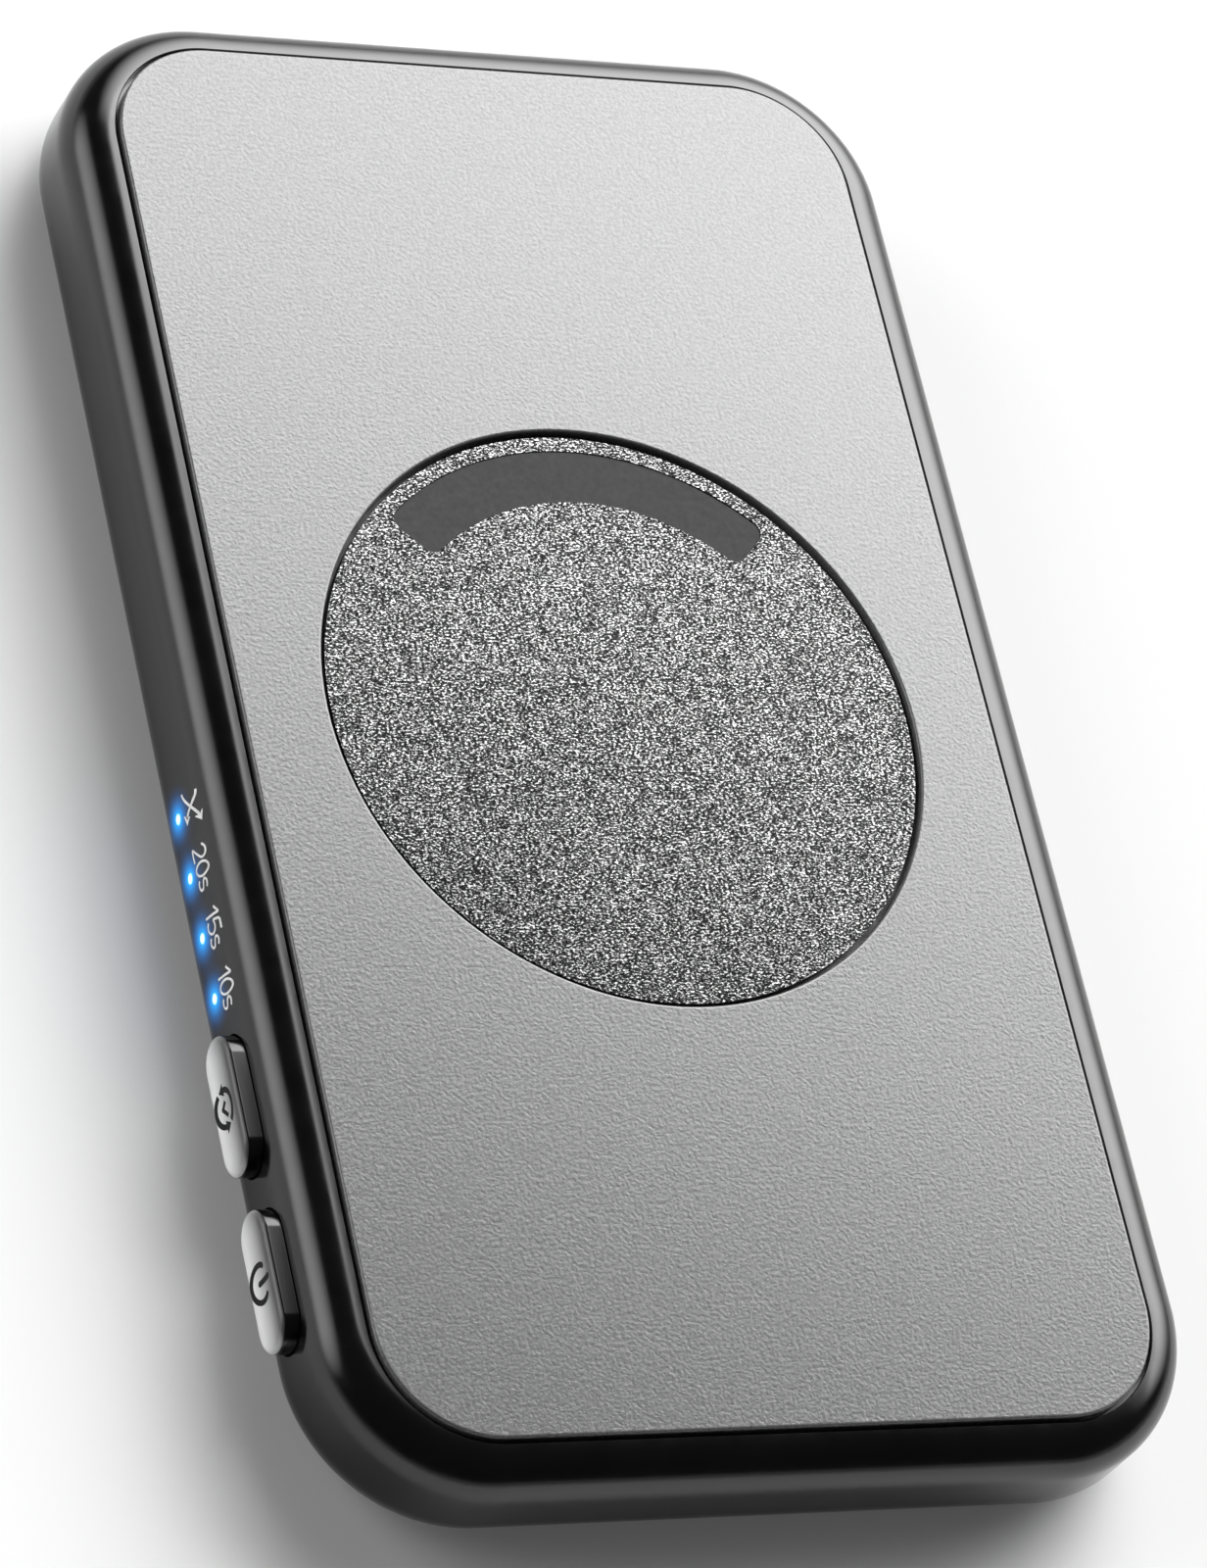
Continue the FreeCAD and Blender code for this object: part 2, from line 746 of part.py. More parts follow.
# ---- turntable ----
def make_turntable():
    disc = cylinder(0, 0, flange_top - weld, sheet_bottom, 2 * table_radius)
    flange = cylinder(0, 0, flange_bottom, flange_top, 2 * flange_radius)
    ring = spur_gear(table_teeth, gear_bottom, flange_bottom + weld, -90)
    ring_inner = table_pitch_radius - dedendum * gear_module - ring_back
    ring = ring.cut(cylinder(0, 0, gear_bottom - weld, flange_bottom, 2 * ring_inner))
    hub = cylinder(0, 0, hub_bottom, flange_bottom + weld, hub_diameter)
    rib_low = flange_bottom - table_rib_depth
    ribs = []
    for i in range(table_rib_count):
        rib = block(0, ring_inner + weld, -rib_thick / 2, rib_thick / 2, rib_low, flange_bottom)
        rib.rotate(Vector(0, 0, 0), Vector(0, 0, 1), 360 / table_rib_count * i)
        ribs.append(rib)
    table = fuse_all([disc, flange, ring, hub] + ribs)
    bore = cylinder(0, 0, hub_bottom - weld, sheet_bottom - axle_cap, axle_diameter + 2 * running_gap)
    return table.cut(bore)


def inlay_shape(z0, z1, growth):
    """Ring sector with round corners about the rear, grown all round by growth."""
    half = inlay_half_angle + math.degrees(growth / inlay_outer_radius)
    centre = Vector(0, 0, z0)
    outside = arc(centre, inlay_outer_radius + growth, 90 - half, 90 + half)
    inside = arc(centre, inlay_inner_radius - growth, 90 - half, 90 + half)
    start, end = [Part.makeLine(outside.Vertexes[i].Point, inside.Vertexes[i].Point) for i in (0, 1)]
    outline = Part.Wire([outside, end, inside, start])
    sector = Part.Face(outline).extrude(Vector(0, 0, z1 - z0))
    upright = [e for e in sector.Edges if e.BoundBox.XLength < tiny and e.BoundBox.YLength < tiny]
    return sector.makeFillet(inlay_corner + growth, upright)


def make_grip_sheet():
    sheet = cylinder(0, 0, sheet_bottom, sheet_top, 2 * table_radius)
    return sheet.cut(inlay_shape(sheet_bottom, sheet_top, inlay_gap))


def make_arc_inlay():
    return inlay_shape(sheet_bottom, sheet_top - inlay_recess, 0)


def make_axle_pin():
    top = sheet_bottom - axle_cap - axle_end_gap
    pin = cylinder(0, 0, pin_bottom, top, axle_diameter)
    return pin.makeChamfer(axle_chamfer, level_edges(pin, top))


def make_thrust_washer():
    washer = cylinder(0, 0, axle_boss_top, washer_top, washer_diameter)
    return washer.cut(cylinder(0, 0, axle_boss_top, washer_top, axle_diameter + 2 * bore_gap))


def make_reduction_pin():
    return cylinder(0, reduction_y, pin_bottom, flange_bottom - seat_gap, reduction_pin_diameter)


# ---- motor ----
def make_motor_shaft():
    return rod_x(worm_y, worm_z, -worm_half - shaft_stub, motor_face_x + shaft_reach, shaft_diameter)


def motor_section(x0, x1, shrink):
    """Round can with two flats."""
    can = rod_x(worm_y, worm_z, x0, x1, motor_width - 2 * shrink)
    half = motor_height / 2 - shrink
    return can.common(block_at((x0 + x1) / 2, worm_y, x1 - x0, motor_width, worm_z - half, worm_z + half))


def make_drive_motor():
    can = motor_section(motor_face_x, motor_back_x - end_cap_length, 0)
    nose = rod_x(worm_y, worm_z, motor_face_x - nose_length, motor_face_x, nose_diameter)
    bore_end = motor_face_x + shaft_reach + shaft_end_gap
    bore = rod_x(worm_y, worm_z, motor_face_x - 2 * nose_length, bore_end, shaft_diameter + 2 * running_gap)
    return fuse_all([can, nose]).cut(bore)


def make_motor_end_cap():
    pieces = [motor_section(motor_back_x - end_cap_length, motor_back_x, end_cap_step)]
    half = terminal_thick / 2
    for side in (-1, 1):
        y = worm_y + side * terminal_offset
        pieces.append(block(
            motor_back_x - weld, motor_back_x + terminal_reach,
            y - terminal_width / 2, y + terminal_width / 2, terminal_z - half, terminal_z + half
        ))
    return fuse_all(pieces)


def make_motor_strap():
    """Spring steel band over the motor, with a screw tab each side."""
    outside = motor_width / 2 + strap_thick
    inside = motor_width / 2
    reach = strap_post_offset + strap_post_diameter / 2
    tab_low = worm_z - strap_thick
    top = motor_top + strap_thick
    half_section = [(inside, motor_top), (inside, tab_low), (reach, tab_low), (reach, worm_z)]
    half_section += [(outside, worm_z), (outside, top)]
    section = [(-y, z) for y, z in reversed(half_section)] + half_section
    points = [Vector(strap_x - strap_width / 2, worm_y + y, z) for y, z in section]
    band = Part.Face(Part.makePolygon(points + points[:1])).extrude(Vector(strap_width, 0, 0))
    shoulders = [e for e in level_edges(band, top) if e.BoundBox.YLength < tiny]
    band = band.makeFillet(strap_thick, shoulders)
    holes = [
        cylinder(strap_x, y, tab_low - weld, worm_z + weld, small_shank + 2 * screw_clearance)
        for y in strap_post_ys
    ]
    return cut_all(band, holes)


def make_strap_screws():
    return [small_screw(strap_x, y, worm_z, floor + pin_seat) for y in strap_post_ys]


# ---- keys, switches and lights ----
def make_button(y):
    """Slot-shaped key cap with a wider flange that stops it behind the wall."""
    face_x = -half_width - key_proud
    flange_x = key_back_x - key_flange_thick
    cap = stadium_x(y, key_z, key_length, key_width, face_x, flange_x + weld)
    cap = cap.makeFillet(key_edge_round, edges_facing_out(cap, face_x))
    grown = 2 * key_flange_margin
    flange = stadium_x(y, key_z, key_length + grown, key_width + grown, flange_x, key_back_x)
    return fuse_all([cap, flange])


def make_switch(y):
    """Side-push switch with an open well for its stem."""
    body = block_at(
        switch_face_x + switch_depth / 2, y, switch_depth, switch_length, board_top, board_top + switch_height
    )
    half_y = stem_length / 2 + stem_gap
    half_z = stem_height / 2 + stem_gap
    well_x = switch_face_x + switch_well
    well = block(switch_face_x - weld, well_x, y - half_y, y + half_y, key_z - half_z, key_z + half_z)
    return body.cut(well)


def make_switch_stem(y):
    back_x = switch_face_x + switch_well - key_travel - stem_end_gap
    half_y = stem_length / 2
    half_z = stem_height / 2
    stem = block(key_back_x, back_x, y - half_y, y + half_y, key_z - half_z, key_z + half_z)
    return stem.makeFillet(stem_tip_round, edges_facing_out(stem, key_back_x))


def make_light_guide():
    """Clear bar behind the wall, with one round pip for each light."""
    middle_y = (light_ys[0] + light_ys[-1]) / 2
    length = light_ys[-1] - light_ys[0] + 2 * guide_overhang
    middle_x = inner_wall_x + guide_depth / 2
    half = guide_height / 2
    bar = block_at(middle_x, middle_y, guide_depth, length, light_z - half, light_z + half)
    pip = light_hole - 2 * pip_gap
    return fuse_all([bar] + [rod_x(y, light_z, -half_width, inner_wall_x + weld, pip) for y in light_ys])


def make_indicator_leds():
    x = board_left + led_from_edge + led_depth / 2
    return [block_at(x, y, led_depth, led_width, board_top, board_top + led_height) for y in light_ys]


# ---- boards ----
def board_with_holes(board, spots, low, high):
    holes = [cylinder(x, y, low - weld, high + weld, small_shank + 2 * screw_clearance) for x, y in spots]
    return cut_all(board, holes)


def make_main_board():
    width = board_right - board_left
    length = board_rear - board_front
    middle_y = (board_front + board_rear) / 2
    board = plate_at(board_middle_x, middle_y, width, length, board_corner, board_bottom, board_top)
    return board_with_holes(board, board_screw_spots, board_bottom, board_top)


def make_board_screws():
    return [small_screw(x, y, board_top, floor) for x, y in board_screw_spots]


def make_controller_chip():
    """Moulded chip on two rows of pins."""
    x = board_middle_x + chip_pin_reach
    y = light_ys[1]
    low = board_top + chip_stand_off
    pieces = [block_at(x, y, chip_width, chip_length, low, low + chip_height)]
    for side in (-1, 1):
        pin_x = x + side * (chip_width + chip_pin_reach) / 2
        for i in range(chip_pin_count):
            pin_y = y + (i - (chip_pin_count - 1) / 2) * chip_pin_pitch
            pieces.append(block_at(
                pin_x, pin_y, chip_pin_reach + weld, chip_pin_width, board_top, board_top + chip_pin_height
            ))
    return fuse_all(pieces)


def make_driver_chip():
    x = board_right - small_screw_from_edge
    return block_at(x, timer_key_y, driver_size, driver_size, board_top, board_top + driver_height)


def make_board_passives():
    x = board_middle_x - passive_length
    top = board_top + passive_height
    ys = [timer_key_y + passive_pitch * (i - passive_count / 2) for i in range(passive_count)]
    return [block_at(x, y, passive_length, passive_width, board_top, top) for y in ys]


def wire_socket(place, turn):
    """Two-way wire socket standing on a board. It opens towards +X before it is turned."""
    half_length_x = socket_length / 2
    half_width_y = socket_width / 2
    housing = block(-half_length_x, half_length_x, -half_width_y, half_width_y, 0, socket_height)
    hollow = block(
        -wire_stop, half_length_x + weld, -half_width_y + socket_wall, half_width_y - socket_wall,
        socket_wall, socket_height - socket_wall
    )
    socket = housing.cut(hollow)
    socket.rotate(Vector(0, 0, 0), Vector(0, 0, 1), turn)
    socket.translate(place)
    return socket


def make_board_sockets():
    return [wire_socket(motor_socket, 0), wire_socket(power_socket, 90)]


def make_usb_board_sockets():
    return [wire_socket(charge_socket, 180), wire_socket(battery_socket, 0)]


def make_usb_board():
    middle_y = (usb_board_front + usb_board_rear) / 2
    board = plate_at(
        0, middle_y, usb_board_width, usb_board_depth, usb_board_corner, usb_board_bottom, usb_board_top
    )
    return board_with_holes(board, usb_screw_spots, usb_board_bottom, usb_board_top)


def make_usb_board_screws():
    return [small_screw(x, y, usb_board_top, floor) for x, y in usb_screw_spots]


def usb_hollow(y0, y1):
    return stadium_y(0, usb_z, usb_width - 2 * usb_shell, usb_height - 2 * usb_shell, y0, y1)


def make_usb_socket():
    """Drawn steel shell, open at the mouth."""
    shell = stadium_y(0, usb_z, usb_width, usb_height, usb_back_y, usb_mouth_y)
    return shell.cut(usb_hollow(usb_back_y - weld, usb_mouth_y + weld))


def make_usb_tongue():
    """Moulded block at the back of the shell, with the contact tongue."""
    base_y = usb_back_y + usb_base_depth
    half_x = usb_tongue_width / 2
    half_z = usb_tongue_thick / 2
    tip_y = usb_mouth_y - usb_tongue_set_back
    tongue = block(-half_x, half_x, base_y - weld, tip_y, usb_z - half_z, usb_z + half_z)
    return fuse_all([usb_hollow(usb_back_y, base_y), tongue])


def make_charge_chip():
    y = usb_board_front + charge_chip_depth
    top = usb_board_top + charge_chip_height
    return block_at(0, y, charge_chip_width, charge_chip_depth, usb_board_top, top)


# ---- battery and leads ----
def make_battery_cell():
    """Pouch cell, with the folded ledge that carries its tabs at the right end."""
    half = battery_width / 2
    ledge_x = half - terrace_length
    cell = block(-half, ledge_x, battery_front, battery_rear, battery_bottom, battery_bottom + battery_thick)
    lengthwise = [e for e in cell.Edges if e.BoundBox.YLength < tiny and e.BoundBox.ZLength < tiny]
    cell = cell.makeFillet(battery_round, lengthwise)
    terrace = block(
        ledge_x - weld, half, battery_front + battery_round, battery_rear - battery_round,
        terrace_z - terrace_thick / 2, terrace_z + terrace_thick / 2
    )
    return fuse_all([cell, terrace])


def make_battery_tape():
    width = battery_width - 2 * tape_inset - terrace_length
    length = battery_rear - battery_front - 2 * tape_inset
    return block_at(-terrace_length / 2, battery_middle_y, width, length, floor, battery_bottom)


def wire_run(points):
    """Round wire along straight runs joined by tangent arcs."""
    edges = []
    at = points[0]
    for before, corner, after in zip(points, points[1:], points[2:]):
        back = before - corner
        ahead = after - corner
        setback = bend_share * min(back.Length, ahead.Length)
        back.normalize()
        ahead.normalize()
        half_turn = (math.pi - back.getAngle(ahead)) / 2
        radius = setback / math.tan(half_turn)
        inward = back + ahead
        inward.normalize()
        start = corner + back * setback
        middle = corner + inward * (radius / math.cos(half_turn) - radius)
        end = corner + ahead * setback
        edges.append(Part.makeLine(at, start))
        edges.append(Part.Arc(start, middle, end).toShape())
        at = end
    edges.append(Part.makeLine(at, points[-1]))
    section = Part.Wire([Part.Circle(points[0], points[1] - points[0], wire_diameter / 2).toShape()])
    return Part.Wire(edges).makePipeShell([section], True, False)


def pair_sides():
    return (-wire_pitch / 2, wire_pitch / 2)


def make_motor_leads():
    """Pair of wires from the motor's terminals round its front to the main board."""
    start_x = motor_back_x + terminal_reach
    turn_x = start_x + lead_clearance
    front_y = strap_post_ys[0] - strap_post_diameter / 2 - lead_clearance
    z = motor_socket.z + wire_height
    leads = []
    for side in pair_sides():
        y = worm_y + math.copysign(terminal_offset, side)
        leads.append(wire_run([
            Vector(start_x, y, terminal_z),
            Vector(turn_x + side, y, terminal_z),
            Vector(turn_x + side, front_y - side, z),
            Vector(motor_socket.x + 2 * lead_ramp, front_y - side, z),
            Vector(motor_socket.x + lead_ramp, motor_socket.y - side, z),
            Vector(motor_socket.x - wire_stop, motor_socket.y - side, z),
        ]))
    return leads


def make_power_leads():
    """Pair of wires from the charging board along the left wall to the main board."""
    run_x = power_socket.x
    z0 = charge_socket.z + wire_height
    z1 = power_socket.z + wire_height
    leads = []
    for side in pair_sides():
        leads.append(wire_run([
            Vector(charge_socket.x + wire_stop, charge_socket.y + side, z0),
            Vector(charge_socket.x - lead_ramp, charge_socket.y + side, z0),
            Vector(run_x - side, battery_rear - side, z1),
            Vector(run_x - side, power_socket.y - wire_stop, z1),
        ]))
    return leads


def make_battery_leads():
    """Pair of wires from the cell's tabs to the charging board."""
    start_x = battery_width / 2
    start_y = battery_rear - battery_round - 2 * wire_pitch
    run_x = start_x + lead_clearance
    z = battery_socket.z + wire_height
    leads = []
    for side in pair_sides():
        leads.append(wire_run([
            Vector(start_x, start_y + side, terrace_z),
            Vector(run_x - side, start_y + side, terrace_z),
            Vector(run_x - side, battery_rear + lead_clearance - side, z),
            Vector(battery_socket.x + lead_ramp, battery_socket.y - side, z),
            Vector(battery_socket.x - wire_stop, battery_socket.y - side, z),
        ]))
    return leads


# ---- the whole object ----
def build():
    parts = {
        "upper_case": make_upper_case(),
        "bottom_cover": make_bottom_cover(),
        "cover_screws": make_cover_screws(),
        "top_panel": make_top_panel(),
        "panel_adhesive": make_panel_adhesive(),
        "turntable": make_turntable(),
        "grip_sheet": make_grip_sheet(),
        "arc_inlay": make_arc_inlay(),
        "axle_pin": make_axle_pin(),
        "thrust_washer": make_thrust_washer(),
        "reduction_gear": make_reduction_gear(),
        "reduction_pin": make_reduction_pin(),
        "worm": make_worm(),
        "motor_shaft": make_motor_shaft(),
        "drive_motor": make_drive_motor(),
        "motor_end_cap": make_motor_end_cap(),
        "motor_strap": make_motor_strap(),
        "strap_screws": make_strap_screws(),
        "timer_button": make_button(timer_key_y),
        "power_button": make_button(power_key_y),
        "timer_switch": make_switch(timer_key_y),
        "power_switch": make_switch(power_key_y),
        "timer_switch_stem": make_switch_stem(timer_key_y),
        "power_switch_stem": make_switch_stem(power_key_y),
        "led_light_guide": make_light_guide(),
        "indicator_leds": make_indicator_leds(),
        "main_board": make_main_board(),
        "board_screws": make_board_screws(),
        "controller_chip": make_controller_chip(),
        "driver_chip": make_driver_chip(),
        "board_passives": make_board_passives(),
        "board_sockets": make_board_sockets(),
        "usb_board": make_usb_board(),
        "usb_board_screws": make_usb_board_screws(),
        "usb_board_sockets": make_usb_board_sockets(),
        "usb_socket": make_usb_socket(),
        "usb_tongue": make_usb_tongue(),
        "charge_chip": make_charge_chip(),
        "battery_cell": make_battery_cell(),
        "battery_tape": make_battery_tape(),
        "motor_leads": make_motor_leads(),
        "power_leads": make_power_leads(),
        "battery_leads": make_battery_leads(),
    }
    for x, y in tower_spots:
        end = "rear" if y > 0 else "front"
        side = "right" if x > 0 else "left"
        parts[f"foot_{end}_{side}"] = make_foot(x, y)
    return parts


os.makedirs("parts", exist_ok=True)
for name, made in build().items():
    shape = Part.makeCompound(made) if isinstance(made, list) else made
    print(f"{name:18s} {len(shape.Solids)} solids, valid {shape.isValid()}, {shape.Volume:.2f} mm3")
    shape.exportStep(f"parts/{name}.step")
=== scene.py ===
import bpy
import math
import numpy as np
from mathutils import Matrix, Vector


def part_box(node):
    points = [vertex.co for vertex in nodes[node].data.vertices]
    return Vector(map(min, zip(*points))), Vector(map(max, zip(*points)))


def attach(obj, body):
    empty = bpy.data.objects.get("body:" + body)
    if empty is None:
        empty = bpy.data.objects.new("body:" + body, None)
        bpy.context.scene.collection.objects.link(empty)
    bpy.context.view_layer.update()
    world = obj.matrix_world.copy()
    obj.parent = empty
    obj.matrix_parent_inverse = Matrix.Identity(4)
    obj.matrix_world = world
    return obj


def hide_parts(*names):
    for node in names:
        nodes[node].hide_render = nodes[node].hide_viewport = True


# Desk mouse mover: gloss black case, pebbled metal panel, turning grip disc, two side keys, four blue lights.
# Shapes are worked out in millimetres and made into meshes in metres.

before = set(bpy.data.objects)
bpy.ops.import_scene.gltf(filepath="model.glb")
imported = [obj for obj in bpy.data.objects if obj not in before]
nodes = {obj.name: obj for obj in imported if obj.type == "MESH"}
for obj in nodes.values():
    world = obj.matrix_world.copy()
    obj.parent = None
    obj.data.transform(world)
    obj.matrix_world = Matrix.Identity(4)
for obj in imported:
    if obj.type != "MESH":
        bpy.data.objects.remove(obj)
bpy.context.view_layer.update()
print("frame loaded:", len(nodes), "nodes")


# meshes worked out as arrays
def nodeBox(name):
    # lowest and highest corner of a frame node, in millimetres
    low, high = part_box(name)
    return np.array(low) * 1000, np.array(high) * 1000


def outlineBase(cornerSteps, sideSteps, endSteps):
    # unit rounded rectangle, anticlockwise from the right side's rear end; each point is a corner centre
    # (from -1 to 1 in x and y) and an outward direction
    # a corner turns by even angles, and the straight after it runs to the next corner by even shares
    signs = np.array([(1, 1), (-1, 1), (-1, -1), (1, -1)], float)
    centres, directions = [], []
    for quarter in range(4):
        angles = math.pi / 2 * (quarter + np.linspace(0, 1, cornerSteps + 1))
        centres.append(np.repeat(signs[quarter][None], len(angles), 0))
        directions.append(np.stack([np.cos(angles), np.sin(angles)], 1))
        shares = np.linspace(0, 1, (endSteps, sideSteps)[quarter % 2] + 1)[1:-1, None]
        centres.append(signs[quarter] * (1 - shares) + signs[(quarter + 1) % 4] * shares)
        directions.append(np.repeat(directions[-1][-1:], len(shares), 0))
    return np.concatenate(centres), np.concatenate(directions)


def raised(flat, z):
    # plan points carried to height z
    return np.column_stack([flat, np.full(len(flat), z)])


def outlineRow(half, radius, z):
    # one closed row at height z: corner centre times (half size less radius), plus direction times radius
    return raised(planBase[0] * (half - radius) + planBase[1] * radius, z)


def circleRow(like, radius, z):
    # row on a circle about the axis, each point in the direction of the point of another row
    return raised(like[:, :2] / np.linalg.norm(like[:, :2], axis=1)[:, None] * radius, z)


def slotRow(halfLength, halfWidth, steps):
    # slot outline: two half circles of the half width about the ends of a straight middle line
    angles = np.linspace(-math.pi / 2, math.pi / 2, steps + 1)
    right = np.stack([halfLength - halfWidth + halfWidth * np.cos(angles), halfWidth * np.sin(angles)], 1)
    return np.concatenate([right, -right])


def gridSolid(rows, loop=False):
    # closed rows joined by quads; the last row joins the first in a loop, or both ends get one flat face
    rows = np.asarray(rows, float)
    count, around = rows.shape[:2]
    index = np.arange(count * around).reshape(count, around)
    upper = np.roll(index, -1, 0) if loop else index[1:]
    lower = index if loop else index[:-1]
    quads = np.stack([lower, np.roll(lower, -1, 1), np.roll(upper, -1, 1), upper], -1).reshape(-1, 4).tolist()
    if not loop:
        quads += [index[0, ::-1].tolist(), index[-1].tolist()]
    return turnedOut(rows.reshape(-1, 3), quads)


def turnedOut(points, faces):
    # faces turned round when the volume they enclose comes out negative; it is summed over fans of triangles
    # as the first corner times the cross product of the other two
    volume = 0.0
    for size in sorted({len(face) for face in faces}):
        corners = points[np.array([face for face in faces if len(face) == size])]
        cross = np.cross(corners[:, 1:-1], corners[:, 2:])
        volume += np.einsum("nkj,nkj->", cross, np.repeat(corners[:, :1], size - 2, 1))
    if volume < 0:
        faces = [face[::-1] for face in faces]
    return points, faces


def makePiece(name, solids, material, body="case", replaces=None, sharp=35):
    # one mesh of closed solids, shaded smooth except where faces meet at more than the sharp angle
    points, faces, start = [], [], 0
    for solidPoints, solidFaces in solids:
        points.append(solidPoints)
        faces += [[start + corner for corner in face] for face in solidFaces]
        start += len(solidPoints)
    mesh = bpy.data.meshes.new(name)
    mesh.from_pydata((np.concatenate(points) / 1000).tolist(), [], faces)
    mesh.update()
    piece = bpy.data.objects.new(name, mesh)
    bpy.context.scene.collection.objects.link(piece)
    smoothen(mesh, sharp)
    if material:
        mesh.materials.append(material)
        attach(piece, body)
    if replaces:
        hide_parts(replaces)
    return piece


def smoothen(mesh, sharp):
    # smooth shading that stays sharp where faces meet at more than the given angle, in degrees
    mesh.shade_smooth()
    mesh.set_sharp_from_angle(angle=math.radians(sharp))


def cutWith(piece, cutter, operation="DIFFERENCE", solver="EXACT", sharp=35):
    # the cutter's solids are taken off the piece, joined to it or intersected with it, and the cutter goes
    modifier = piece.modifiers.new("cut", "BOOLEAN")
    modifier.operation = operation
    modifier.solver = solver
    modifier.object = cutter
    bpy.context.view_layer.update()
    cut = bpy.data.meshes.new_from_object(piece.evaluated_get(bpy.context.evaluated_depsgraph_get()))
    piece.modifiers.clear()
    old = piece.data
    piece.data = cut
    cut.name = old.name
    bpy.data.meshes.remove(old)
    bpy.data.objects.remove(cutter)
    smoothen(cut, sharp)


def prismX(outline, x0, x1):
    # outline in y and z carried from x0 to x1
    return gridSolid([np.column_stack([np.full(len(outline), x), outline]) for x in (x0, x1)])


def prismY(outline, y0, y1):
    # outline in x and z carried from y0 to y1
    across, up = outline.T
    return gridSolid([np.column_stack([across, np.full(len(outline), y), up]) for y in (y0, y1)])


def upright(outline, z0, z1):
    # plan outline carried from z0 to z1
    return gridSolid([raised(outline, z) for z in (z0, z1)])


def box(low, high):
    # block between two corners
    x, y = np.array([low[0], high[0], high[0], low[0]]), np.array([low[1], low[1], high[1], high[1]])
    return upright(np.column_stack([x, y]), low[2], high[2])


strokeForm = {
    "depth": 0.06,  # how far a mark sinks into its surface
    "lift": 0.02,  # how far it stands above the surface
    "point": 0.03,  # width left at the tip of an arrow head
}


def strokeSolid(path, width, depth=strokeForm["depth"]):
    # flat ribbon in u, v and height: the path's points moved half the width to each side, at two heights
    path = np.asarray(path, float)
    along = np.gradient(path, axis=0)
    along /= np.linalg.norm(along, axis=1)[:, None]
    aside = np.stack([-along[:, 1], along[:, 0]], 1) * np.broadcast_to(width, len(path))[:, None] / 2
    lift = strokeForm["lift"]
    corners = [(path + aside, lift), (path - aside, lift), (path - aside, -depth), (path + aside, -depth)]
    return gridSolid(np.stack([raised(flat, z) for flat, z in corners], 1))


def arcPath(radius, start, end, steps=28):
    # points on a circle, angles in degrees from the u axis
    angles = np.radians(np.linspace(start, end, steps))
    return np.stack([np.cos(angles), np.sin(angles)], 1) * radius


def arrowHead(tip, heading, length, width):
    # triangle that narrows from its full width to a point at the tip
    heading = np.array(heading, float) / np.linalg.norm(heading)
    shares = np.linspace(1, 0, 5)[:, None]
    widths = np.maximum(width * shares[:, 0], strokeForm["point"])
    return strokeSolid(np.array(tip) - heading * length * shares, widths)


# sizes read from the frame
caseLow, caseHigh = nodeBox("upper_case")
panelLow, panelHigh = nodeBox("top_panel")
gripLow, gripHigh = nodeBox("grip_sheet")
inlayHigh = nodeBox("arc_inlay")[1]
guideLow, guideHigh = nodeBox("led_light_guide")
socketLow, socketHigh = nodeBox("usb_socket")
tongueEnd = nodeBox("usb_tongue")[1][1]
coverLow = nodeBox("bottom_cover")[0]
keyLow, keyHigh = nodeBox("timer_button")

caseForm = {
    "corner": 13.4,  # plan radius
    "edgeRound": 3.6,
    "wall": 1.8,
    "innerRound": 1.4,
    "grooveGap": 0.3,  # between the panel and the rim
    "grooveBreak": 0.07,  # broken edge of the groove
    "deckTop": 10.75,
    "deckBottom": 9.55,
    "deckOpening": 29.0,
    "ribDepth": 1.3,
    "ribThick": 1.0,
    "cornerSteps": 30,
    "sideSteps": 56,
    "endSteps": 30,
}
lightForm = {
    "count": 4,
    "overhang": 1.6,  # guide bar beyond its first and last light
    "hole": 0.5,  # radius of a pinhole
}
keyForm = {
    "setBack": 0.03,  # rim of the face behind the frame's key, so that the icon stays inside it
    "gap": 0.15,
    "edgeRound": 0.45,
    "dish": 0.16,  # how far the middle of the face lies behind its rim
    "flangeThick": 0.8,
    "flangeMargin": 0.55,
    "firstShare": 0.015,  # place of the first row, as a share of the way from the middle line to the rim
}
planBase = outlineBase(caseForm["cornerSteps"], caseForm["sideSteps"], caseForm["endSteps"])
lightEnds = (guideLow[1] + lightForm["overhang"], guideHigh[1] - lightForm["overhang"])
lightYs = np.linspace(*lightEnds, lightForm["count"])
lightZ = (guideLow[2] + guideHigh[2]) / 2
keyMiddles = {name: sum(nodeBox(name)) / 2 for name in ("timer_button", "power_button")}
keyFaceX = keyLow[0] + keyForm["setBack"]
keyBackX = keyHigh[0]
keyHalf = (keyHigh - keyLow)[1:] / 2 - keyForm["flangeMargin"]


# materials
def addNode(tree, kind, inputs=None, **settings):
    # one shader node; an input is given a plain value or another node's output
    made = tree.nodes.new("ShaderNode" + kind)
    for key, value in settings.items():
        setattr(made, key, value)
    for key, value in (inputs or {}).items():
        if isinstance(value, bpy.types.NodeSocket):
            tree.links.new(value, made.inputs[key])
        else:
            made.inputs[key].default_value = value
    return made


def calculate(tree, operation, *values):
    # sum, product or other calculation with one or two values
    return addNode(tree, "Math", dict(enumerate(values)), operation=operation).outputs[0]


def compare(tree, operation, first, second):
    # distance or dot product of two vectors
    made = addNode(tree, "VectorMath", {0: first, 1: second}, operation=operation)
    return made.outputs["Value"]


def startFinish(name, **plain):
    # material with its shader's plain values set, and the socket that gives the place on the object
    material = bpy.data.materials.new(name)
    material.use_nodes = True
    tree = material.node_tree
    shader = tree.nodes["Principled BSDF"]
    for key, value in plain.items():
        shader.inputs[key.replace("_", " ")].default_value = value
    return material, tree, shader, addNode(tree, "TexCoord").outputs["Object"]


def connect(tree, shader, **outputs):
    # each output goes to the shader's input of that name, where an underscore stands for a space
    for key, output in outputs.items():
        tree.links.new(output, shader.inputs[key.replace("_", " ")])


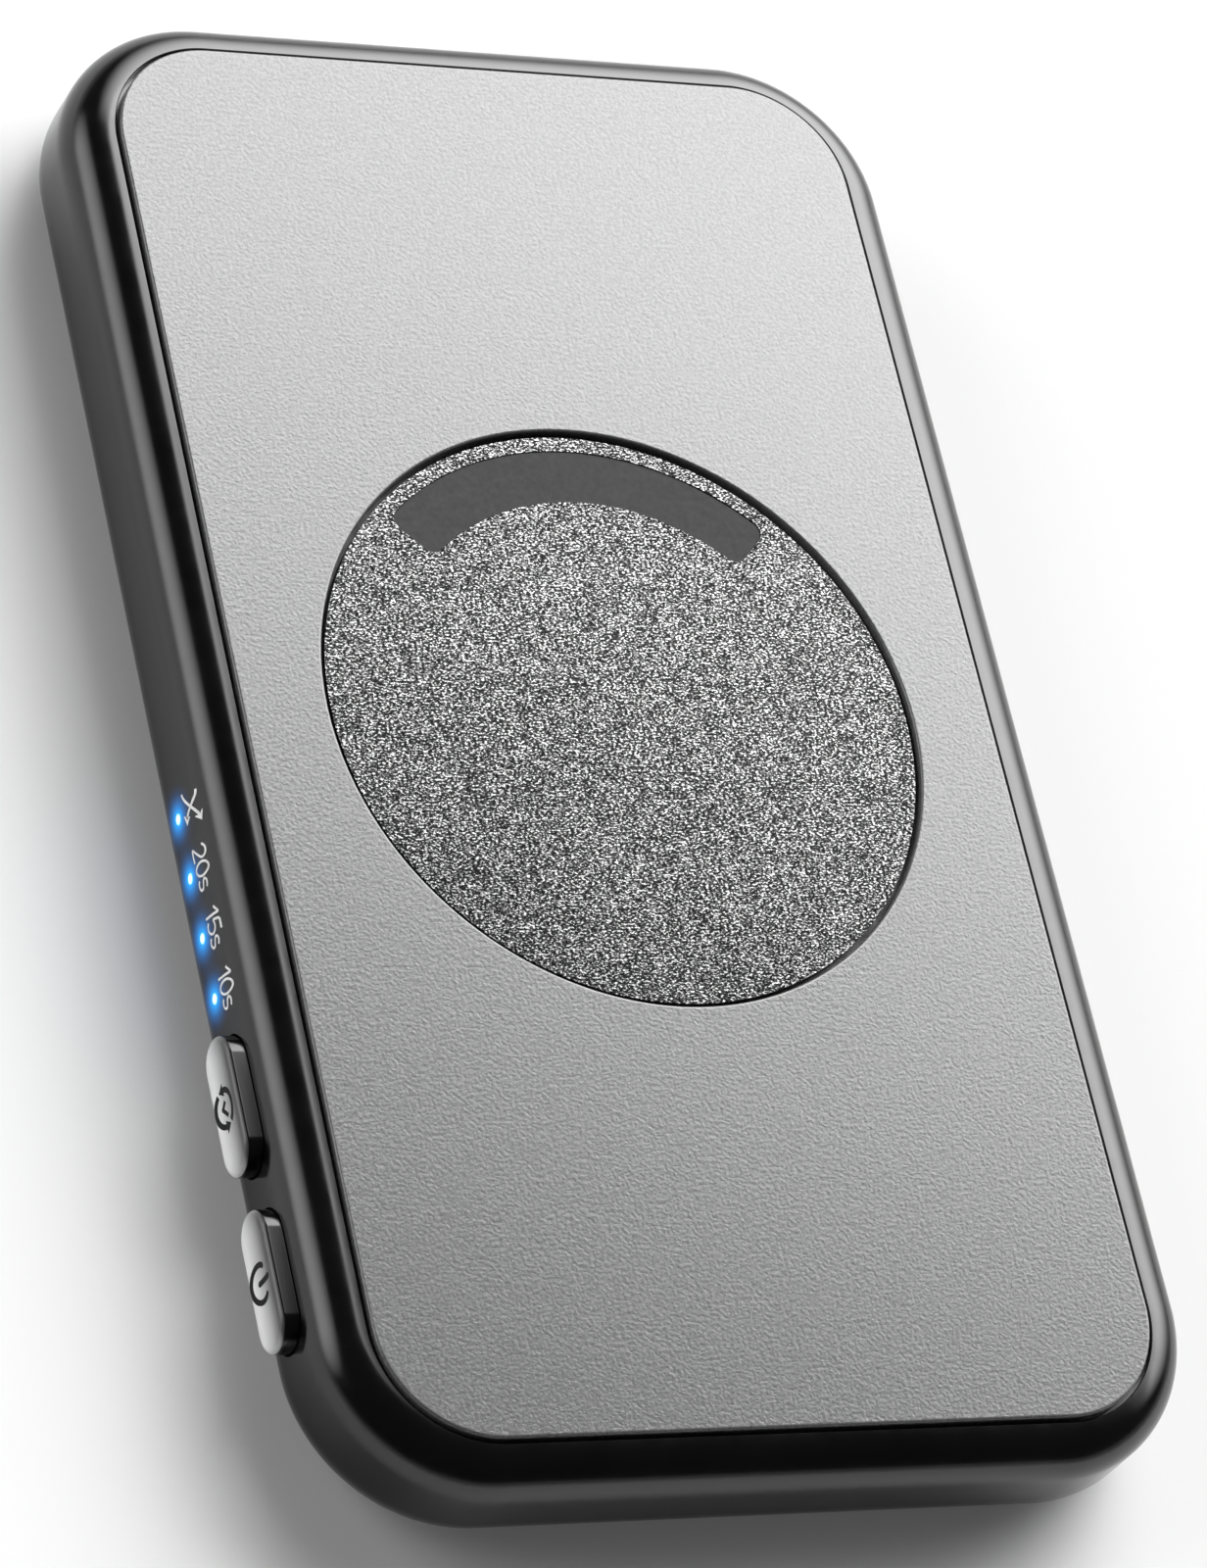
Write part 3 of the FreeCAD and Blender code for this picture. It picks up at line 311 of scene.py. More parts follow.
def noise(tree, place, size, detail=2.0, roughness=0.5):
    # noise whose grains are about the given size in millimetres
    inputs = {"Vector": place, "Scale": 1000 / size, "Detail": detail, "Roughness": roughness}
    return addNode(tree, "TexNoise", inputs).outputs["Fac"]


def spread(tree, value, low, high, fromLow=0.3, fromHigh=0.7, **settings):
    # value carried from one range to another and held at the ends of the new one
    inputs = {"Value": value, "From Min": fromLow, "From Max": fromHigh, "To Min": low, "To Max": high}
    return addNode(tree, "MapRange", inputs, **settings).outputs["Result"]


def shades(tree, value, stops):
    # colour ramp: value from 0 to 1 through (place, colour) stops
    ramp = addNode(tree, "ValToRGB", {"Fac": value})
    points = ramp.color_ramp.elements
    while len(points) < len(stops):
        points.new(0.5)
    for point, (place, colour) in zip(points, stops):
        point.position = place
        point.color = (*colour, 1)
    return ramp.outputs["Color"]


def greys(tree, value, *stops):
    # colour ramp through (place, level) stops of grey
    return shades(tree, value, [(place, (level,) * 3) for place, level in stops])


def bump(tree, height, distance):
    # distance in millimetres
    inputs = {"Height": height, "Distance": distance / 1000, "Strength": 1.0}
    return addNode(tree, "Bump", inputs).outputs["Normal"]


def surfaceFinish(name, colour, rough, metal=0.0, grain=0.15, depth=0.004, tint=0.1, uneven=0.08, shine=0.5):
    # moulded or rolled surface: broad noise shifts the colour, finer noise the gloss, and noise of the
    # grain's size the height
    material, tree, shader, place = startFinish(name, Metallic=metal, Specular_IOR_Level=shine)
    low, high = [tuple(c * k for c in colour) for k in (1 - tint, 1 + tint)]
    base = shades(tree, noise(tree, place, grain * 14, 4), [(0.3, low), (0.7, high)])
    gloss = spread(tree, noise(tree, place, grain * 4, 3), max(rough - uneven, 0.03), rough + uneven)
    relief = bump(tree, noise(tree, place, grain, 3), depth)
    connect(tree, shader, Base_Color=base, Roughness=gloss, Normal=relief)
    return material


def lightRings(tree, place, radius):
    # nearness to the lights' centres: for each light e to the power of minus (distance over radius) squared,
    # all added up
    total = None
    for y in lightYs:
        centre = (caseLow[0] / 1000, y / 1000, lightZ / 1000)
        away = compare(tree, "DISTANCE", place, centre)
        share = calculate(tree, "MULTIPLY", away, 1000 / radius)
        square = calculate(tree, "MULTIPLY", share, share)
        bell = calculate(tree, "EXPONENT", calculate(tree, "MULTIPLY", square, -1.0))
        total = bell if total is None else calculate(tree, "ADD", total, bell)
    return total


def caseGloss(name, glow):
    # polished black moulding with a faint orange peel; round the lights a blue glow is painted on as emission
    look = {
        "patch": 9.0,  # sizes of the noise in colour, gloss and height
        "cloud": 2.2,
        "peel": 1.6,
        "lift": 0.0012,
        "paintedHalo": 1.6,  # radius of the painted blue glow round a light
    }
    material, tree, shader, place = startFinish(name, Specular_IOR_Level=0.6)
    black = greys(tree, noise(tree, place, look["patch"], 3), (0.3, 0.002), (0.7, 0.004))
    gloss = spread(tree, noise(tree, place, look["cloud"], 4), 0.13, 0.19)
    relief = bump(tree, noise(tree, place, look["peel"], 1), look["lift"])
    connect(tree, shader, Base_Color=black, Roughness=gloss, Normal=relief)
    # painted glow: blue emission on the case, strongest at each light and fading with distance from it
    if glow:
        blues = [
            (0.04, (0, 0, 0)),
            (0.2, (0, 0.02, 0.07)),
            (0.45, (0, 0.08, 0.26)),
            (0.72, (0, 0.2, 0.62)),
            (0.92, (0, 0.4, 1)),
        ]
        connect(tree, shader, Emission_Color=shades(tree, lightRings(tree, place, look["paintedHalo"]), blues))
        shader.inputs["Emission Strength"].default_value = 1.0
    return material


def panelMetal():
    # blasted and anodised sheet: fine low pebble, slightly uneven gloss
    look = {
        "grain": 0.3,
        "lift": 0.019,
        "base": 0.145,
        "metal": 0.1,
        "shine": 0.67,
        "cloud": 1.1,  # size of the patches of gloss
        "rough": 0.17,
        "uneven": 0.015,
    }
    plain = {"Metallic": look["metal"], "Specular_IOR_Level": look["shine"]}
    material, tree, shader, place = startFinish("panelMetal", **plain)
    pebble = noise(tree, place, look["grain"], 3, 0.6)
    tones = greys(tree, pebble, (0.35, look["base"] * 0.8), (0.65, look["base"] * 1.2))
    low, high = look["rough"] - look["uneven"], look["rough"] + look["uneven"]
    gloss = spread(tree, noise(tree, place, look["cloud"], 3), low, high)
    connect(tree, shader, Base_Color=tones, Roughness=gloss, Normal=bump(tree, pebble, look["lift"]))
    return material


def gripFilm():
    # glitter-filled film: dark binder with bright flakes, over the relief that the mesh already has
    look = {
        "flake": 0.155,  # sizes of the flakes, of their clusters and of the fine grain
        "cluster": 0.8,
        "fine": 0.17,
        "drawn": 0.62,  # flakes are longer along x, where their noise runs at this share of its pace
        "lift": 0.004,
        "metal": 0.9,
        "shine": 0.3,
    }
    plain = {"Metallic": look["metal"], "Specular_IOR_Level": look["shine"]}
    material, tree, shader, place = startFinish("gripFilm", **plain)
    mapping = addNode(tree, "Mapping", {"Vector": place, "Scale": (look["drawn"], 1, 1)})
    drawn = mapping.outputs["Vector"]
    flake = noise(tree, drawn, look["flake"], 2, 0.6)
    cluster = spread(tree, noise(tree, place, look["cluster"], 3, 0.6), -0.045, 0.035)
    mixed = calculate(tree, "ADD", flake, cluster)
    tones = greys(tree, mixed, (0.44, 0.001), (0.49, 0.01), (0.55, 0.08), (0.64, 0.27))
    gloss = spread(tree, noise(tree, place, look["fine"], 2), 0.15, 0.25)
    relief = bump(tree, noise(tree, drawn, look["fine"], 3, 0.6), look["lift"])
    connect(tree, shader, Base_Color=tones, Roughness=gloss, Normal=relief)
    return material


def keyFinish():
    # satin metal cap on a gloss black body; the change lies round the cap's edge, and painted shade darkens
    # the cap upwards
    look = {
        "capEdge": 0.62,  # share of the rounded edge that belongs to the cap
        "blend": 0.00002,  # half width of the change, in metres
        "paintedShadeSpan": (-0.6, 0.75),  # where the painted shade starts and ends, in half heights from the middle
        "grain": 0.12,
        "lift": 0.0015,
    }
    material, tree, shader, place = startFinish("keyFinish")
    across = addNode(tree, "SeparateXYZ", {0: place}).outputs["X"]
    edge = (keyFaceX + keyForm["edgeRound"] * look["capEdge"]) / 1000
    capped = spread(tree, across, 1.0, 0.0, edge - look["blend"], edge + look["blend"])
    metal = spread(tree, capped, 0.0, 0.35, 0, 1)
    height = addNode(tree, "SeparateXYZ", {0: place}).outputs["Z"]
    low, high = [(keyMiddles["timer_button"][2] + share * keyHalf[1]) / 1000 for share in look["paintedShadeSpan"]]
    # painted sheen and shade: the cap's colour is full at the low end and falls to a tenth of it at the top
    paintedShading = spread(tree, height, 1.0, 0.1, low, high)
    tones = greys(tree, calculate(tree, "MULTIPLY", paintedShading, capped), (0.0, 0.003), (1.0, 1.0))
    gloss = spread(tree, capped, 0.13, 0.34, 0, 1)
    relief = bump(tree, noise(tree, place, look["grain"], 2), look["lift"])
    connect(tree, shader, Metallic=metal, Base_Color=tones, Roughness=gloss, Normal=relief)
    return material


def lightGuide():
    # clear acrylic, lit from behind: white in the middle of each pip, blue towards its rim
    look = {"pip": 0.42, "grain": 0.5}   # radius of the glow in a pip, and size of the patches of gloss
    plain = {"Base_Color": (0.6, 0.75, 0.9, 1), "Emission_Strength": 1.0}
    material, tree, shader, place = startFinish("lightGuide", **plain)
    blues = [(0.0, (0, 0.05, 0.14)), (0.24, (0.01, 0.32, 0.85)), (0.5, (0.15, 0.6, 1)), (0.74, (1, 1, 1))]
    glow = shades(tree, lightRings(tree, place, look["pip"]), blues)
    gloss = spread(tree, noise(tree, place, look["grain"], 2), 0.15, 0.3)
    connect(tree, shader, Emission_Color=glow, Roughness=gloss)
    return material


def boardFinish():
    # green solder mask over copper tracks: tracks are the joints of a brick pattern, broken up by noise
    look = {"bricks": 260.0, "joint": 0.03, "weave": 0.5, "lift": 0.02}
    material, tree, shader, place = startFinish("boardFinish")
    inputs = {"Vector": place, "Scale": look["bricks"], "Mortar Size": look["joint"]}
    tracks = addNode(tree, "TexBrick", inputs).outputs["Fac"]
    weave = noise(tree, place, look["weave"], 3)
    mixed = calculate(tree, "MULTIPLY", tracks, weave)
    green = shades(tree, mixed, [(0.1, (0.004, 0.055, 0.022)), (0.5, (0.02, 0.16, 0.06))])
    gloss = spread(tree, weave, 0.3, 0.45)
    connect(tree, shader, Base_Color=green, Roughness=gloss, Normal=bump(tree, tracks, look["lift"]))
    return material


caseShellGloss = caseGloss("caseShellGloss", True)
coverGloss = caseGloss("coverGloss", False)
panelFinish = panelMetal()
gripFinish = gripFilm()
capFinish = keyFinish()
inlayFilm = surfaceFinish(
    "inlayFilm", (0.03,) * 3, 0.6, grain=0.12, tint=0.12, uneven=0.05, shine=0.25
)
iconInk = surfaceFinish("iconInk", (0.004,) * 3, 0.6, grain=0.1, depth=0.002, shine=0.25)
legendInk = surfaceFinish("legendInk", (0.92,) * 3, 0.5, grain=0.1, depth=0.002, tint=0.04)
contactGold = surfaceFinish("contactGold", (0.85, 0.6, 0.25), 0.25, 1.0, grain=0.1, depth=0.001)
nodeFinish = {
    coverGloss: ["bottom_cover", "upper_case"],
    panelFinish: ["top_panel"],
    gripFinish: ["grip_sheet"],
    inlayFilm: ["arc_inlay"],
    capFinish: ["timer_button", "power_button"],
    lightGuide(): ["led_light_guide"],
    boardFinish(): ["main_board", "usb_board"],
    surfaceFinish("adhesiveFilm", (0.5, 0.5, 0.46), 0.6, grain=0.4, depth=0.01): ["panel_adhesive"],
    surfaceFinish("bareSteel", (0.56, 0.55, 0.53), 0.28, 1.0, depth=0.003): [
        "cover_screws", "axle_pin", "thrust_washer", "reduction_pin", "motor_shaft",
        "strap_screws", "board_screws", "usb_board_screws", "motor_strap",
    ],
    surfaceFinish("socketSteel", (0.6, 0.6, 0.61), 0.22, 1.0, grain=0.12, depth=0.002): ["usb_socket"],
    surfaceFinish("tablePlastic", (0.012,) * 3, 0.45, grain=0.25, depth=0.006): ["turntable"],
    surfaceFinish("gearNylon", (0.72, 0.7, 0.64), 0.5, grain=0.2, tint=0.05): ["reduction_gear"],
    surfaceFinish("wormBrass", (0.75, 0.53, 0.25), 0.3, 1.0, depth=0.003): ["worm"],
    surfaceFinish("motorCan", (0.5, 0.5, 0.5), 0.33, 1.0, grain=0.2, depth=0.003): ["drive_motor"],
    surfaceFinish("motorCap", (0.55, 0.53, 0.48), 0.55, grain=0.2): ["motor_end_cap"],
    surfaceFinish("switchPlastic", (0.02,) * 3, 0.5): [
        "timer_switch", "power_switch",
    ],
    surfaceFinish("stemPlastic", (0.6, 0.58, 0.52), 0.5): [
        "timer_switch_stem", "power_switch_stem",
    ],
    surfaceFinish("lensResin", (0.75, 0.78, 0.7), 0.25, depth=0.002): ["indicator_leds"],
    surfaceFinish("chipPlastic", (0.015,) * 3, 0.55, grain=0.1): [
        "controller_chip", "driver_chip", "charge_chip",
    ],
    surfaceFinish("passiveCeramic", (0.42, 0.3, 0.2), 0.5): ["board_passives"],
    surfaceFinish("connectorPlastic", (0.7, 0.68, 0.6), 0.45, grain=0.2): [
        "board_sockets", "usb_board_sockets",
    ],
    surfaceFinish("tonguePlastic", (0.012,) * 3, 0.5, depth=0.003): ["usb_tongue"],
    surfaceFinish("wireSleeve", (0.35, 0.02, 0.015), 0.45, grain=0.2, depth=0.003): [
        "motor_leads", "power_leads", "battery_leads",
    ],
    surfaceFinish("batteryFoil", (0.6, 0.62, 0.64), 0.3, 0.9, grain=0.6, depth=0.02): ["battery_cell"],
    surfaceFinish("foamTape", (0.03,) * 3, 0.9, grain=0.3, depth=0.03): ["battery_tape"],
    surfaceFinish("footRubber", (0.012,) * 3, 0.75, grain=0.2, depth=0.012): [
        "foot_front_left", "foot_front_right", "foot_rear_left", "foot_rear_right",
    ],
}
for material, names in nodeFinish.items():
    for name in names:
        nodes[name].data.materials.clear()
        nodes[name].data.materials.append(material)
print("finishes:", len(nodeFinish))


# upper case
def caseHeight(row):
    # height of the rounded top edge at each point: a point that lies inside the plan outline by a distance,
    # up to the radius, is raised by the root of the radius squared less (radius less distance) squared
    beyond = np.abs(row[:, :2]) - (caseHigh[:2] - caseForm["corner"])
    outside = np.linalg.norm(np.maximum(beyond, 0), axis=1) + np.minimum(beyond.max(1), 0)
    inward = np.minimum(caseForm["corner"] - outside, caseForm["edgeRound"])
    rise = np.sqrt(caseForm["edgeRound"] ** 2 - (caseForm["edgeRound"] - inward) ** 2)
    return caseHigh[2] - caseForm["edgeRound"] + rise


def caseShell():
    # profile rows carried round the plan outline: parting edge, lower round, wall, top round, groove wall,
    # deck, table opening with its rib, deck underside, inner round, inner wall, and back to the parting edge
    edge = caseForm["edgeRound"]

    def row(inset, z):
        return outlineRow(caseHigh[:2] - inset, caseForm["corner"] - inset, z)

    def edgeRows(z, turns):
        # outer round: inset by the radius times (1 less cosine), raised by the radius times the sine
        return [row(edge * (1 - math.cos(t)), z + edge * math.sin(t)) for t in turns]

    lowZ = coverLow[2] + edge
    topZ = caseHigh[2] - edge
    start = -math.asin((lowZ - caseLow[2]) / edge)
    rows = edgeRows(lowZ, np.linspace(start, 0, 10))
    rows += [row(0, z) for z in np.linspace(lowZ, topZ, 10)[1:-1]]
    rows += edgeRows(topZ, np.radians(np.linspace(0, 85, 22)))

    gap, edgeBreak = caseForm["grooveGap"], caseForm["grooveBreak"]
    half, corner = panelHigh[:2] + gap, panelForm["corner"] + gap
    rim = outlineRow(half + edgeBreak, corner + edgeBreak, 0)
    rim[:, 2] = caseHeight(rim)
    brink = outlineRow(half, corner, 0)
    brink[:, 2] = rim[:, 2] - edgeBreak
    sill = outlineRow(half, corner, caseForm["deckTop"])
    rows += [rim, brink, sill]

    opening, under = caseForm["deckOpening"], caseForm["deckBottom"]
    ribFoot = under - caseForm["ribDepth"]
    rows += [circleRow(sill, opening, z) for z in (caseForm["deckTop"], ribFoot)]
    rows += [circleRow(sill, opening + caseForm["ribThick"], z) for z in (ribFoot, under)]
    inner, wall = caseForm["innerRound"], caseForm["wall"]
    for t in np.radians(np.linspace(90, 0, 8)):
        rows.append(row(wall + inner * (1 - math.cos(t)), under - inner * (1 - math.sin(t))))
    rows.append(row(wall, caseLow[2]))
    return gridSolid(rows, loop=True)


insideForm = {
    "weld": 0.1,  # how far a rib or boss sinks into what carries it
    "besideParts": 1.0,  # from the board's front, or the cell's rear, to the middle of its cross rib
    "besideGuide": 0.6,  # from an end of the light guide to the middle of its rib
    "bossFromSide": 10.4,
    "bossFromEnd": 9.5,
    "bossRadius": 2.5,
    "boreRadius": 0.97,
    "bossLow": 4.2,
    "boreTop": 8.75,
    "windowGap": 1.0,  # round the motor and its strap
    "motorNose": 0.2,  # part of the motor's nose that stays under the deck
}


def bossCircles(radius):
    # circle of that radius about each of the four cover screws
    away = caseHigh[:2] - (insideForm["bossFromSide"], insideForm["bossFromEnd"])
    circle = arcPath(radius, 0, 351, 40)
    return [circle + away * (sideX, sideY) for sideX in (-1, 1) for sideY in (-1, 1)]


def caseInside():
    # two cross ribs, the two ribs that hold the light guide, and four bosses for the cover screws
    under, half, weld = caseForm["deckBottom"], caseForm["ribThick"] / 2, insideForm["weld"]
    inside = caseHigh[0] - caseForm["wall"] + weld
    ribLow = under - caseForm["ribDepth"]
    beside = insideForm["besideParts"]
    solids = []
    for y in (nodeBox("main_board")[0][1] - beside, nodeBox("battery_cell")[1][1] + beside):
        solids.append(box((-inside, y - half, ribLow), (inside, y + half, under + weld)))
    beside = insideForm["besideGuide"]
    for y in (guideLow[1] - beside, guideHigh[1] + beside):
        solids.append(box((-inside, y - half, guideLow[2]), (guideHigh[0], y + half, under + weld)))
    for circle in bossCircles(insideForm["bossRadius"]):
        solids.append(upright(circle, insideForm["bossLow"], under + weld))
    return solids


openingForm = {
    "beyond": 1.0,  # how far a cutter starts outside what it cuts
    "past": 0.6,  # how far it goes on behind the wall
    "socketGap": 0.25,  # round the charging socket
    "keySteps": 28,  # in each round end of an opening
    "socketSteps": 24,
}


def motorWindow():
    # opening in the deck over the motor, its end cap and its strap
    front = nodeBox("drive_motor")[0][0] + insideForm["motorNose"]
    back = nodeBox("motor_end_cap")[1][0] + insideForm["windowGap"]
    strapLow, strapHigh = nodeBox("motor_strap")
    low = (front, strapLow[1] - insideForm["windowGap"], caseForm["deckBottom"] - 2 * caseForm["ribDepth"])
    return box(low, (back, strapHigh[1] + insideForm["windowGap"], caseHigh[2]))


def keyPockets():
    # room behind the wall for each key's flange, a cut of its own because it meets the key's slot
    start = caseLow[0] + caseForm["wall"]
    end = start + 2 * caseForm["innerRound"]
    outline = slotRow(*(keyHalf + keyForm["flangeMargin"] + keyForm["gap"]), openingForm["keySteps"])
    return [prismX(outline + middle[1:], start, end) for middle in keyMiddles.values()]


def caseOpenings():
    # motor window, screw bores, key slots, pinholes and the charging opening, as solids to take off the shell
    beyond, past = openingForm["beyond"], openingForm["past"]
    reach = (caseLow[0] - beyond, caseLow[0] + caseForm["wall"] + past)
    solids = [motorWindow()]
    for circle in bossCircles(insideForm["boreRadius"]):
        solids.append(upright(circle, insideForm["bossLow"] - beyond, insideForm["boreTop"]))
    for middle in keyMiddles.values():
        slot = slotRow(*(keyHalf + keyForm["gap"]), openingForm["keySteps"])
        solids.append(prismX(slot + middle[1:], *reach))
    for y in lightYs:
        solids.append(prismX(arcPath(lightForm["hole"], 0, 345, 24) + (y, lightZ), *reach))
    half = (socketHigh - socketLow) / 2 + openingForm["socketGap"]
    middle = (socketHigh + socketLow) / 2
    mouth = slotRow(half[0], half[2], openingForm["socketSteps"]) + (middle[0], middle[2])
    solids.append(prismY(mouth, caseHigh[1] - caseForm["wall"] - past, caseHigh[1] + beyond))
    return solids


# the panel's sizes stand before the case is made, because its groove follows them
panelForm = {
    "corner": 9.2,
    "window": 26.0,  # radius
    "edgeRound": 0.2,
    "support": 0.06,  # flat strip kept beside each edge
}
upperCase = makePiece(
    "upperCaseShell", [caseShell()], caseShellGloss, replaces="upper_case", sharp=30
)
cutWith(upperCase, makePiece("caseInside", caseInside(), None), "UNION", sharp=30)
cutWith(upperCase, makePiece("caseOpenings", caseOpenings(), None), sharp=30)
cutWith(upperCase, makePiece("keyPockets", keyPockets(), None), sharp=30)
print("upper case:", len(upperCase.data.polygons), "faces")


# top panel
def panelSheet():
    # rows from the window's wall over its rounded edge, across the face, over the outer edge and down
    edge, top, low = panelForm["edgeRound"], panelHigh[2], panelLow[2]
    turns = np.radians(np.linspace(0, 90, 7))
    support = edge + panelForm["support"]

    def row(inset, z):
        return outlineRow(panelHigh[:2] - inset, panelForm["corner"] - inset, z)

    window = panelForm["window"]
    like = row(0, 0)
    rows = [circleRow(like, window, low)]
    for t in turns:
        rows.append(circleRow(like, window + edge * (1 - math.cos(t)), top - edge * (1 - math.sin(t))))
    rows += [circleRow(like, window + support, top), row(support, top)]
    rows += [row(edge * (1 - math.sin(t)), top - edge * (1 - math.cos(t))) for t in turns]
    rows.append(row(0, low))
    return gridSolid(rows, loop=True)


makePiece("panelSheet", [panelSheet()], panelFinish, replaces="top_panel", sharp=60)
print("top panel")


# grip face
gripForm = {
    "step": 0.158,  # distance between mesh points
    "margin": 0.3,  # slab beyond the disc that is cut from it
    "beyond": 1.0,  # slab below the disc, and cutters below and above it
    "grain": 0.34,  # size of a grain
    "relief": 0.01,  # from the deepest hollow to the highest grain
    "seed": 7,
    "middle": 0.55,  # middle and width of the band of waves that is kept, in waves per grain
    "width": 0.42,
    "press": 1.1,  # how strongly the grains are flattened
    "inlayBand": 4.7,
    "inlayHalfAngle": 44.2,
    "inlayCorner": 1.1,
    "inlayGap": 0.05,
}


def gripHeights(count):
    # seeded noise times a bell curve of its waves per grain, then pressed towards flat tops and flat hollows
    # by a hyperbolic tangent, from 0 to 1
    random = np.random.default_rng(gripForm["seed"]).standard_normal((count, count))
    waves = np.fft.fftfreq(count, gripForm["step"])
    length = np.hypot(waves[:, None], waves[None]) * gripForm["grain"]
    band = np.exp(-((length - gripForm["middle"]) / gripForm["width"]) ** 2)
    field = np.fft.ifft2(np.fft.fft2(random) * band).real
    return 0.5 + 0.5 * np.tanh(gripForm["press"] * field / field.std())


def gripSlab():
    # square field of heights with flat sides and a flat bottom
    half = gripHigh[0] + gripForm["margin"]
    count = int(2 * half / gripForm["step"]) + 1
    along = np.linspace(-half, half, count)
    x, y = np.meshgrid(along, along, indexing="ij")
    top = gripHigh[2] - gripForm["relief"] * (1 - gripHeights(count))
    points = np.stack([x, y, top], -1).reshape(-1, 3)
    index = np.arange(count * count).reshape(count, count)
    quads = np.stack([index[:-1, :-1], index[1:, :-1], index[1:, 1:], index[:-1, 1:]], -1)
    faces = quads.reshape(-1, 4).tolist()
    low = gripLow[2] - gripForm["beyond"]
    corners = np.array([(-half, -half, low), (half, -half, low), (half, half, low), (-half, half, low)])
    a, b, c, d = range(count * count, count * count + 4)
    faces.append([a, d, c, b])
    faces.append([a, b] + index[::-1, 0].tolist())
    faces.append([b, c] + index[-1, ::-1].tolist())
    faces.append([c, d] + index[:, -1].tolist())
    faces.append([d, a] + index[0].tolist())
    return np.concatenate([points, corners]), faces


def inlayOutline(grown):
    # ring sector about the rear, offset outwards by one amount: left end with its two round corners, inner
    # arc, right end, outer arc
    outer = inlayHigh[1] + grown
    inner = inlayHigh[1] - gripForm["inlayBand"] - grown
    corner = gripForm["inlayCorner"] + grown
    half = math.radians(gripForm["inlayHalfAngle"]) + grown / inlayHigh[1]
    ends = []
    for side in (1, -1):
        line = np.array([-math.sin(half) * side, math.cos(half)])
        across = np.array([math.cos(half) * side, math.sin(half)])
        arcs = []
        for radius, turn in ((outer - corner, 1), (inner + corner, -1)):
            share = math.asin(corner / radius)
            centre = radius * (line * math.cos(share) + across * math.sin(share))
            radial = centre / radius * turn
            angles = np.linspace(0, 1, 8)[:, None]
            blend = radial * (1 - angles) - across * angles
            arcs.append(centre + corner * blend / np.linalg.norm(blend, axis=1)[:, None])
        points = np.concatenate([arcs[0], arcs[1][::-1]])
        ends.append(points if side == 1 else points[::-1])

    def angleOf(point):
        return math.degrees(math.atan2(point[1], point[0]))

    left, right = ends
    innerArc = arcPath(inner, angleOf(left[-1]), angleOf(right[0]), 40)[1:-1]
    outerArc = arcPath(outer, angleOf(right[-1]), angleOf(left[0]), 50)[1:-1]
    return np.concatenate([left, innerArc, right, outerArc])


gripFace = makePiece("gripFace", [gripSlab()], gripFinish, "turntable", "grip_sheet", 180)
gripTop = gripHigh[2] + gripForm["beyond"]
disc = upright(arcPath(gripHigh[0], 0, 359, 360), gripLow[2], gripTop)
cutWith(gripFace, makePiece("gripDisc", [disc], None), "INTERSECT", "MANIFOLD", 180)
pocket = upright(inlayOutline(gripForm["inlayGap"]), gripLow[2] - gripForm["beyond"], gripTop)
cutWith(gripFace, makePiece("inlayPocket", [pocket], None), "DIFFERENCE", "MANIFOLD", 50)
print("grip face:", len(gripFace.data.polygons), "faces")


# side keys
def keyX(flat):
    # face of a key: a shallow dish about its middle line, as deep as the dish times (1 less the square of
    # the share of the way to the rim)
    beyond = np.maximum(np.abs(flat[:, 0]) - (keyHalf[0] - keyHalf[1]), 0)
    off = np.hypot(beyond, flat[:, 1]) / (keyHalf[1] - keyForm["edgeRound"])
    return keyFaceX + keyForm["dish"] * (1 - np.minimum(off, 1) ** 2)


def keyCap(middle):
    # slot-shaped rows from the face's middle line outwards, round the edge, down the side and over the flange
    edge = keyForm["edgeRound"]
    shares = np.linspace(keyForm["firstShare"], 1, 14)
    profile = [((keyHalf[1] - edge) * (1 - share) + edge, None) for share in shares]
    for t in np.radians(np.linspace(0, 90, 9))[1:]:
        profile.append((edge * (1 - math.sin(t)), keyFaceX + edge * (1 - math.cos(t))))
    flangeX = keyBackX - keyForm["flangeThick"]
    profile += [(0, flangeX), (-keyForm["flangeMargin"], flangeX), (-keyForm["flangeMargin"], keyBackX)]
    rows = []
    for inset, x in profile:
        flat = slotRow(*(keyHalf - inset), 24)
        depth = keyX(flat) if x is None else np.full(len(flat), x)
        rows.append(np.column_stack([depth, flat + middle[1:]]))
    return gridSolid(rows)


def onKey(solid, middle):
    # icon in u (towards the front), v (up) and height, laid on the dished face
    points, faces = solid
    flat = np.stack([-points[:, 0], points[:, 1]], 1)
    return turnedOut(np.column_stack([keyX(flat) - points[:, 2], flat + middle[1:]]), faces)


iconForm = {
    "ring": 1.42,  # radius of both icons' rings
    "centre": (0, -0.28),  # of the ring, from the middle of the key
    "stroke": 0.46,
    "chase": (30, 172),  # start and end of an arrow's arc, in degrees
    "headAt": 184,  # where its head sits on the ring
    "headReach": 0.42,  # from there to the tip
    "headLength": 0.74,
    "headWidth": 1.08,
    "hands": [((-0.5, 0.2), (0.04, -0.45)), ((-0.06, -0.42), (0.72, 0.36))],
    "handStroke": 0.34,
    "openRing": (144, 396),
    "bar": ((0, 1.62), (0, -0.14)),
}


def timerIcon():
    # two arrows chasing each other round a clock's two hands
    radius, centre = iconForm["ring"], iconForm["centre"]
    start, end = iconForm["chase"]
    solids = []
    for turn in (0, 180):
        solids.append(strokeSolid(arcPath(radius, turn + start, turn + end) + centre, iconForm["stroke"]))
        angle = math.radians(turn + iconForm["headAt"])
        middle = radius * np.array([math.cos(angle), math.sin(angle)]) + centre
        heading = np.array([-math.sin(angle), math.cos(angle)])
        tip = middle + heading * iconForm["headReach"]
        solids.append(arrowHead(tip, heading, iconForm["headLength"], iconForm["headWidth"]))
    for hand in iconForm["hands"]:
        solids.append(strokeSolid(np.linspace(*hand, 4) + centre, iconForm["handStroke"]))
    return solids


